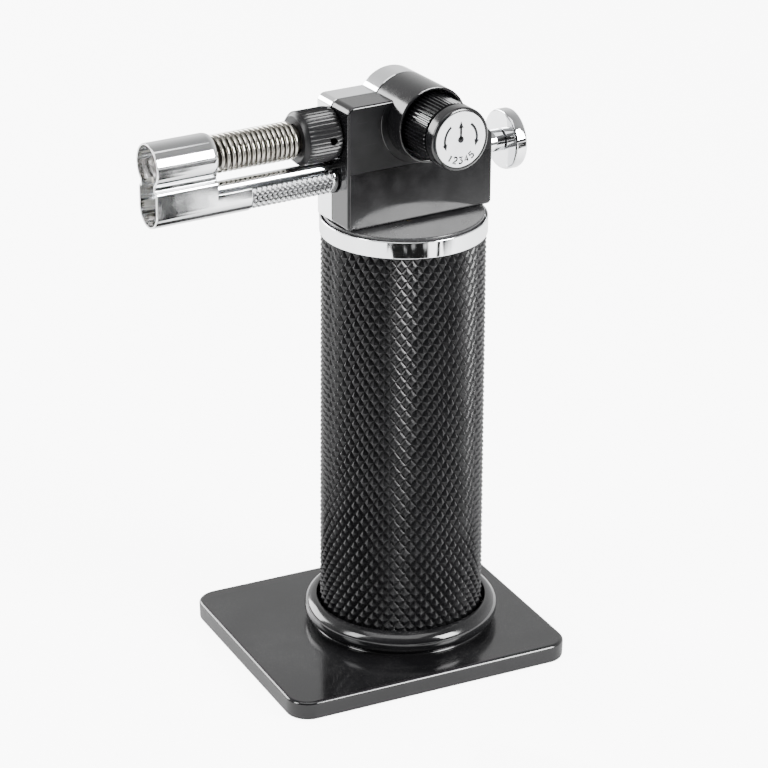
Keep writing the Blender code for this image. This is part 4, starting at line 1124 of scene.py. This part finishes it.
def makeButtonStem():
    low, high = boxOf("igniter_plunger")
    radius = (high.y - low.y) / 2
    waist = radius - button["grooveDeep"]
    tail, tailR = high.x - button["tailLong"], button["tailR"]
    profile = [(0, low.x), (radius, low.x), (radius, button["grooveFrom"]),
               (waist, button["grooveFrom"] + 0.3), (waist, button["grooveTo"] - 0.3),
               (radius, button["grooveTo"]), (radius, tail), (tailR, tail), (tailR, high.x), (0, high.x)]
    turnedPiece("button_stem", profile, "X", (0, button["z"]), 0.12, chrome, "button",
                ["igniter_plunger"], 64)


makeButton()
makeButtonStem()
print("button made")


# finishes for the CAD nodes that stay as they are
kept = {
    "stand_pad": rubber, "tank_seal": rubber, "fill_valve_seal": rubber, "valve_o_ring": rubber,
    "fuel_tank": tankPlastic, "tank_cap": tankPlastic, "pickup_tube": tankPlastic,
    "fill_valve_body": brass, "fill_valve_stem": brass, "gas_valve_body": brass, "neck_nut": brass,
    "valve_spindle": brass, "gas_jet": brass, "fill_valve_spring": springSteel, "valve_needle": springSteel,
    "electrode_pin": springSteel, "igniter_spring": springSteel, "piezo_igniter": plastic,
    "igniter_wire": wireSleeve,
}
for name, material in kept.items():
    nodes[name].data.materials.clear()
    nodes[name].data.materials.append(material)


studio = {
    "floorGrey": 0.45, "glow": 1.9, "paintedShadowGlow": 0.35, "seenGlow": 8.0, "zenith": 0.42, "horizon": 1.5,
    "front": 0.05, "cardNear": 0.222, "cardSlant": 0.169, "stripFrom": 0.047, "stripLean": 0.42,
    "stripWide": 0.02, "lightAim": 0.07,
    "cardCorners": [(-0.21, -0.155), (-0.04, -0.10), (-0.014, -0.052), (0.03, -0.052), (0.09, -0.17),
                    (0.9, -0.30), (0.9, -1.5), (-1.1, -1.5), (-0.9, -0.75)],
}
lights = {  # azimuth, elevation, distance, size and power
    "leftBox": (-90, 31, 1.0, (0.28, 0.55), 11.0),
    "rightBox": (28, 29, 0.95, (0.34, 0.52), 31.0),
    "rimBox": (-155, 22, 1.0, (0.7, 0.45), 19.0),
    "topBox": (-40, 78, 1.0, (0.8, 0.8), 6.0),
}
camera = {"azimuth": -31.5, "elevation": 23.67, "roll": 0.47, "distance": 0.6824, "aimZ": 0.065,
          "focal": 137.63, "shiftX": -0.0238}


def stagePiece(bm, name, material, z):
    item = meshObject(bm, name)
    item.data.materials.append(material)
    item.location = (0, 0, z)
    return item


def makeFloor():
    # A pale floor that also glows: least under the torch, a painted shadow, and most for the camera.
    bm = bmesh.new()
    bmesh.ops.create_grid(bm, x_segments=2, y_segments=2, size=4.0)
    material, tree, shader, where = startMaterial("paleFloor", (studio["floorGrey"],) * 3, 0.0, 0.6, 0.2)
    tone = mapRange(tree, addNoise(tree, where, 3.0, 3.0), 0.3, 0.7, studio["floorGrey"] - 0.01,
                    studio["floorGrey"] + 0.01)
    tree.links.new(tone, shader.inputs["Base Color"])
    seen = addNode(tree, "ShaderNodeLightPath").outputs["Is Camera Ray"]
    shader.inputs["Emission Color"].default_value = (1, 1, 1, 1)
    away = addNode(tree, "ShaderNodeVectorMath", operation="LENGTH")
    tree.links.new(where, away.inputs[0])
    # the glow is lower near the torch: a painted shadow that the reflections see
    glow = mapRange(tree, away.outputs["Value"], 0.04, 0.13, studio["paintedShadowGlow"], studio["glow"])
    tree.links.new(mapRange(tree, seen, 0, 1, glow, studio["seenGlow"]), shader.inputs["Emission Strength"])
    stagePiece(bm, "paleFloor", material, -0.0002)


def makeCard():
    # A dark sheet on the floor, hidden from the camera, gives the chrome its dark bands.
    bm = bmesh.new()
    bm.faces.new([bm.verts.new((*corner, 0)) for corner in studio["cardCorners"]])
    material, tree, shader, where = startMaterial("darkCard", (0.004, 0.004, 0.004), 0.0, 0.9, 0.0)
    x, y = splitXYZ(tree, where)[:2]
    reach = minus(tree, times(tree, x, -studio["cardSlant"]), y)
    waver = times(tree, minus(tree, addNoise(tree, where, 22.0, 3.0), 0.5), 0.09)
    edge = plus(tree, reach, waver)
    near = studio["cardNear"]
    blur = mapRange(tree, x, 0.10, 0.125, 0.003, 0.035)
    dark = mapRange(tree, edge, minus(tree, near, blur), plus(tree, near, blur))
    # a gap in the card in front of the nozzle, with one slanting strip left in it
    gap = times(tree, mapRange(tree, x, 0.0, 0.015), mapRange(tree, x, 0.112, 0.104))
    dark = times(tree, dark, minus(tree, 1.0, gap))
    lean = times(tree, y, studio["stripLean"])
    across = plus(tree, plus(tree, x, lean), studio["stripFrom"])
    ragged = plus(tree, times(tree, waver, 0.35), studio["stripWide"])
    over = minus(tree, across, ragged)
    spot = times(tree, mapRange(tree, over, 0.001, -0.001), mapRange(tree, across, -0.006, -0.004))
    tree.links.new(mathNode(tree, "MAXIMUM", dark, spot), shader.inputs["Alpha"])
    patches = mapRange(tree, addNoise(tree, where, 11.0, 3.0, 0.6), 0.55, 0.68)
    patches = times(tree, patches, minus(tree, 1.0, spot))
    color = mixColor(tree, patches, (0.004, 0.004, 0.004), (0.30, 0.30, 0.30))
    tree.links.new(color, shader.inputs["Base Color"])
    card = stagePiece(bm, "darkCard", material, 0.001)
    card.visible_camera = False
    card.visible_shadow = False


def addLight(name, azimuth, elevation, distance, size, power):
    place = placeAt(azimuth, elevation, distance)
    light = bpy.data.lights.new(name, "AREA")
    light.shape = "RECTANGLE"
    light.size, light.size_y = size
    light.energy = power
    lamp = bpy.data.objects.new(name, light)
    lamp.location = place
    lamp.rotation_euler = (Vector((0, 0, studio["lightAim"])) - place).to_track_quat("-Z", "Y").to_euler()
    bpy.context.scene.collection.objects.link(lamp)


def placeAt(azimuth, elevation, distance):
    a, e = math.radians(azimuth), math.radians(elevation)
    return Vector((math.sin(a) * math.cos(e), -math.cos(a) * math.cos(e), math.sin(e))) * distance


def makeLights():
    world = bpy.data.worlds.new("studioAir")
    bpy.context.scene.world = world
    world.use_nodes = True
    tree = world.node_tree
    where = addNode(tree, "ShaderNodeTexCoord").outputs["Generated"]
    side = addNode(tree, "ShaderNodeVectorMath", operation="DOT_PRODUCT")
    tree.links.new(where, side.inputs[0])
    side.inputs[1].default_value = placeAt(camera["azimuth"], 0, 1)
    around = mapRange(tree, side.outputs["Value"], -0.35, 0.35, studio["horizon"], studio["front"])
    level = mapRange(tree, splitXYZ(tree, where)["Z"], 0.35, 0.9, around, studio["zenith"])
    background = tree.nodes["Background"]
    background.inputs["Color"].default_value = (1, 1, 1, 1)
    tree.links.new(level, background.inputs["Strength"])
    for name, values in lights.items():
        addLight(name, *values)


def makeCamera():
    back = placeAt(camera["azimuth"], camera["elevation"], 1)
    data = bpy.data.cameras.new("viewCamera")
    data.lens = camera["focal"]
    data.sensor_width = 36.0
    data.shift_x = camera["shiftX"]
    data.clip_start, data.clip_end = 0.02, 20.0
    item = bpy.data.objects.new("viewCamera", data)
    item.location = Vector((0, 0, camera["aimZ"])) + back * camera["distance"]
    turn = (-back).to_track_quat("-Z", "Y").to_matrix().to_4x4()
    item.rotation_euler = (turn @ Matrix.Rotation(math.radians(camera["roll"]), 4, "Z")).to_euler()
    bpy.context.scene.collection.objects.link(item)
    bpy.context.scene.camera = item


makeFloor()
makeCard()
makeLights()
makeCamera()
print("studio made")
